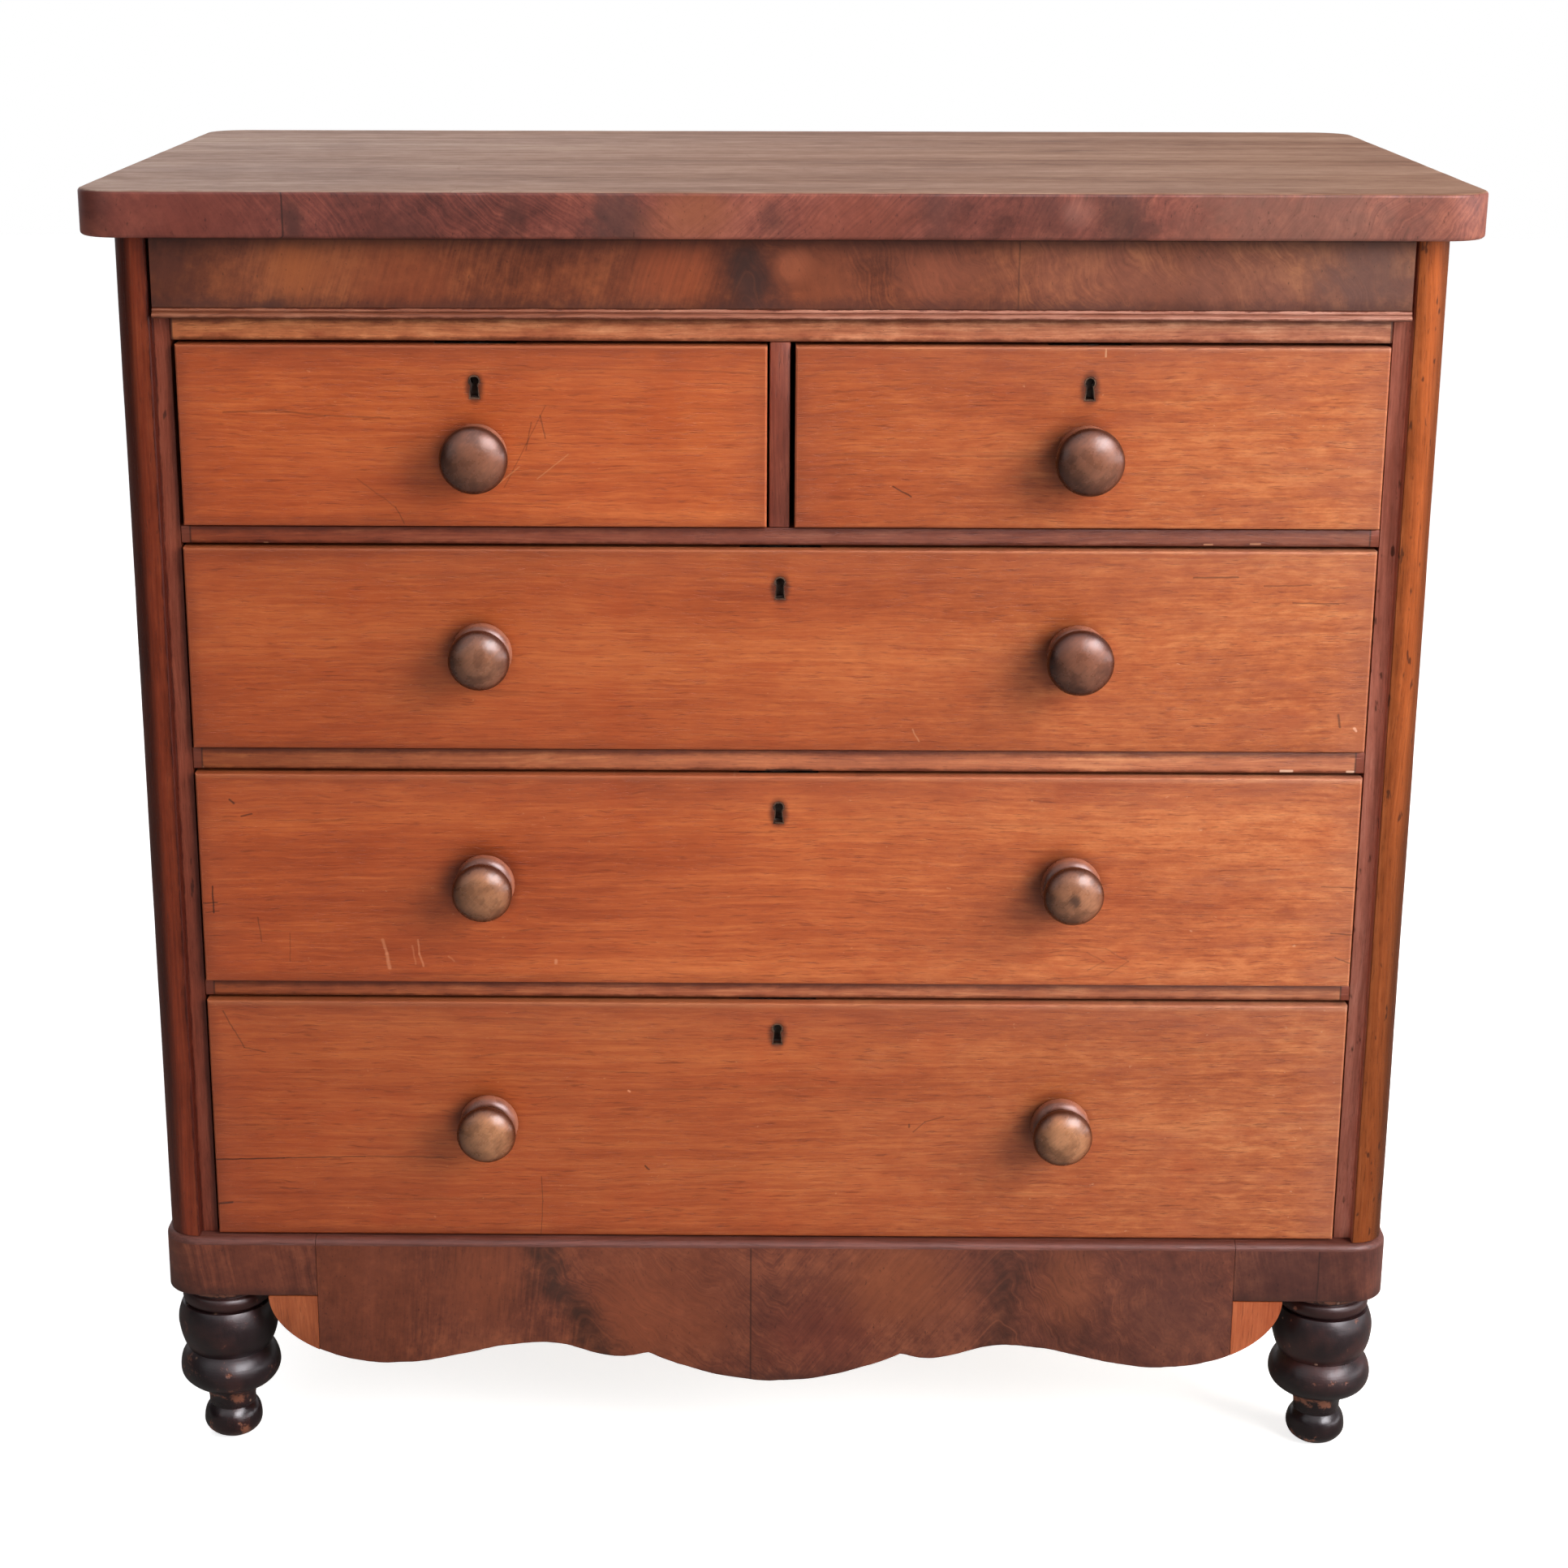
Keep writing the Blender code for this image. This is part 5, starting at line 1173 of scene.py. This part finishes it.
def veneers():
    """Flame veneers of the top's edge, the frieze, the apron and the plinths."""
    edge = ((0.06, 0.017, 0.013), (0.165, 0.045, 0.032), (0.31, 0.095, 0.06))
    brown = ((0.085, 0.026, 0.014), (0.215, 0.068, 0.033), (0.39, 0.14, 0.06))
    smoky = ((0.06, 0.018, 0.012), (0.155, 0.047, 0.027), (0.29, 0.1, 0.05))
    # Each tint is tone, painted light and sheen across from left to right; the heights after it
    # darken arrises with painted shade, and the frieze's upper edge with a painted shadow
    top_edge = veneer(
        "top_edge_veneer", edge, -0.28775, 1.03, 5.0, TOP_PATCHES,
        ((-0.3, 0.01, 0.15, 0.9, 0.08), (0.16, 0.014, 0.2, -0.9, 0.1)), ((-0.3655, 0.85),),
        2.2, ((0.92, 0.84, 0.86), (1.04, 1.04, 1.05), (1.02, 1.16, 1.2)))
    frieze = veneer(
        "frieze_veneer", brown, -0.26675, 0.98, 2.2, FRIEZE_PATCHES,
        ((-0.022, 0.014, 0.45, 0.15, 0.14),), ((0.177, 0.45),),
        3.7, ((0.72, 0.58, 0.46), (0.76, 0.58, 0.48), (0.78, 0.88, 1.04)), 0.9585, 1.0125)
    apron = veneer(
        "apron_veneer", smoky, -0.26875, 0.14, 1.5, APRON_PATCHES,
        ((-0.165, 0.021, 0.88, 0.55, 0.16), (0.186, 0.023, 0.6, -0.1, 0.3)), ((-0.0195, 0.7),),
        5.9, ((0.94, 0.73, 0.55), (0.88, 0.74, 0.66), (0.8, 0.72, 0.72)), 0.0735)
    plinth = veneer(
        "plinth_veneer", smoky, -0.26875, 0.17, 6.0, PLINTH_PATCHES, (), ((0.446, 0.6),),
        7.4, ((0.9, 0.73, 0.66), (0.8, 0.7, 0.68), (0.56, 0.52, 0.6)), FOOT_Z)
    return top_edge, frieze, apron, plinth


def knob_woods():
    """Polish of the knobs: dark and rubbed tone, how far rubbed, dark spot in the middle."""
    looks = {"short": ((0.105, 0.031, 0.016), (0.185, 0.07, 0.038), 0.8),
             "upper": ((0.105, 0.033, 0.018), (0.22, 0.09, 0.048), 0.9),
             "dark": ((0.07, 0.018, 0.01), (0.19, 0.07, 0.038), 0.75),
             "middle": ((0.13, 0.039, 0.017), (0.28, 0.118, 0.055), 1.0),
             "scratched": ((0.11, 0.033, 0.015), (0.27, 0.112, 0.056), 0.9, 0.85),
             "lower": ((0.14, 0.041, 0.015), (0.33, 0.145, 0.068), 1.0)}
    return {kind: knob_polish("knob_" + kind, *tones) for kind, tones in looks.items()}


def centre(node):
    """Middle of a CAD node as (x, z)."""
    low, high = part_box(node)
    return (low.x + high.x) / 2, (low.z + high.z) / 2


def coat_cad():
    """Give the CAD nodes that stay as they are their woods and metals."""
    tones = ((0.27, 0.05, 0.015), (0.405, 0.092, 0.028), (0.54, 0.155, 0.052))
    sides = mahogany("side_mahogany", ((0.12, 0.026, 0.013), (0.24, 0.062, 0.029),
                                       (0.37, 0.12, 0.06)), "Z", 8.8, bands=20.0)
    boards = plain_wood("pine_upright", ((0.22, 0.1, 0.045), (0.38, 0.2, 0.098),
                                         (0.49, 0.29, 0.155)), "Z", board=0.168)
    pine = plain_wood("pine_across", ((0.26, 0.15, 0.075), (0.46, 0.31, 0.18),
                                      (0.58, 0.43, 0.27)), "X")
    lining = plain_wood("lining_wood", ((0.2, 0.11, 0.055), (0.38, 0.24, 0.13),
                                        (0.5, 0.34, 0.2)), "Y", 26.0)
    brass = metal("old_brass", (0.22, 0.12, 0.075), (0.055, 0.03, 0.022), 0.4)
    iron = metal("old_iron", (0.16, 0.14, 0.12), (0.09, 0.05, 0.035), 0.5)
    coats = {"side_panel_left": sides, "side_panel_right": sides, "back_panel": boards,
             "bottom_board": pine}
    # Width and strength of the pale upper arris, worn and with a painted highlight, and how bright
    # the front is
    rows = {"short_left": ((0.0014, 0.7), 1.16), "short_right": ((0.0016, 0.75), 1.02),
            "upper": ((0.0014, 0.7), 1.02), "middle": ((0.0022, 0.8), 1.1),
            "lower": ((0.0024, 0.85), 0.95)}
    for n, (label, (lip, gain)) in enumerate(rows.items()):
        name = "drawer_" + label + "_"
        low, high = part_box(name + "front")
        holds = [centre(node) for node in NODES if node.startswith(name) and "knob" in node]
        coats[name + "front"] = drawer_coat(
            "front_" + label, [toned(tone, gain) for tone in tones], 11.0 + 1.7 * n,
            (low.x, high.x, low.z, high.z), holds, centre(name + "escutcheon"), MARKS[label], lip)
        coats.update({name + "box": lining, name + "bottom": pine, name + "escutcheon": brass,
                      name + "lock": iron, name + "lock_bolt": brass})
    for node, coat in coats.items():
        data = NODES[node].data
        data.materials.clear()
        data.materials.append(coat)


def post_woods():
    """Woods of the left and the right post, each with its own tones, scuffs, painted light and
    painted shade.
    """
    left = post_coat("post_left_mahogany", -1.0,
                     ((0.13, 0.017, 0.005), (0.26, 0.038, 0.011), (0.38, 0.074, 0.024)),
                     ((0.13, 0.025, 0.013), (0.24, 0.054, 0.029), (0.36, 0.1, 0.056)),
                     5.5, (0.66, 1.12, 0.36, 1.0), 0.482, 0.6, 0.95, 1.0, 0.3)
    right = post_coat("post_right_mahogany", 1.0,
                      ((0.24, 0.05, 0.011), (0.42, 0.1, 0.024), (0.57, 0.155, 0.045)),
                      ((0.24, 0.07, 0.045), (0.4, 0.135, 0.092), (0.55, 0.22, 0.16)),
                      7.1, (0.44, 0.76, 0.36, 0.52), 0.4875, 0.0, 0.2, 2.2, 0.12)
    return left, right


def make_turnings():
    """Feet, and knobs turned about Y, each with its own small wobble."""
    black = foot_paint("black_paint")
    for label, (x, y) in FEET.items():
        bm = lathe(foot_profile(), 96, 0.0006, x * 9 + y)
        settle("turned_foot_" + label, bm, "carcase", [black], "foot_" + label, (x, y, 0.0))
    knobs = knob_woods()
    kinds = {"drawer_upper_knob_right": "dark", "drawer_middle_knob_right": "scratched"}
    for node in sorted(NODES):
        if "knob" not in node:
            continue
        low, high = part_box(node)
        x, z = centre(node)
        kind = kinds.get(node, node.split("_")[1])
        bm = lathe(knob_profile((high.z - low.z) / 2), 72, 0.0003, low.x * 9 + low.z)
        settle("turned_" + node, bm, node.split("_knob")[0], [knobs[kind]], node,
               (x, FRONT_Y, z), 90)


def main():
    look()
    surroundings()
    coat_cad()
    top_edge, frieze, apron, plinth = veneers()
    lips = mahogany("lip_mahogany", ((0.068, 0.021, 0.015), (0.128, 0.041, 0.03),
                                     (0.22, 0.08, 0.06)), "X", 9.4)
    # The bead's span darkens its edges with painted shade; each tint is tone, painted light and
    # sheen across
    bead = mahogany("bead_mahogany", ((0.11, 0.026, 0.014), (0.25, 0.07, 0.038),
                                      (0.43, 0.16, 0.1)), "X", 2.6,
                    span=(0.9513, 0.9595, 0.0024, 0.001),
                    tint=((0.95, 1.05, 0.95), (1.2, 1.45, 1.6), (1.45, 2.1, 2.6)))
    ear = mahogany("ear_wood", ((0.24, 0.05, 0.016), (0.4, 0.105, 0.034), (0.55, 0.18, 0.07)),
                   "Z", 6.6, tint=((0.95, 0.9, 0.85), (0.9, 0.8, 0.75), (0.84, 0.64, 0.56)))

    make_top([top_polish("top_polish", 1.3), top_edge])
    make_frieze(frieze, bead)
    make_apron([apron, lips])
    for side, label, post in zip((-1, 1), ("left", "right"), post_woods()):
        make_post(side, label, post)
        make_plinth(side, label, [plinth, lips])
        make_ear(side, label, ear)
    for node, wood in rail_woods().items():
        soften(node, wood)
    make_turnings()


main()
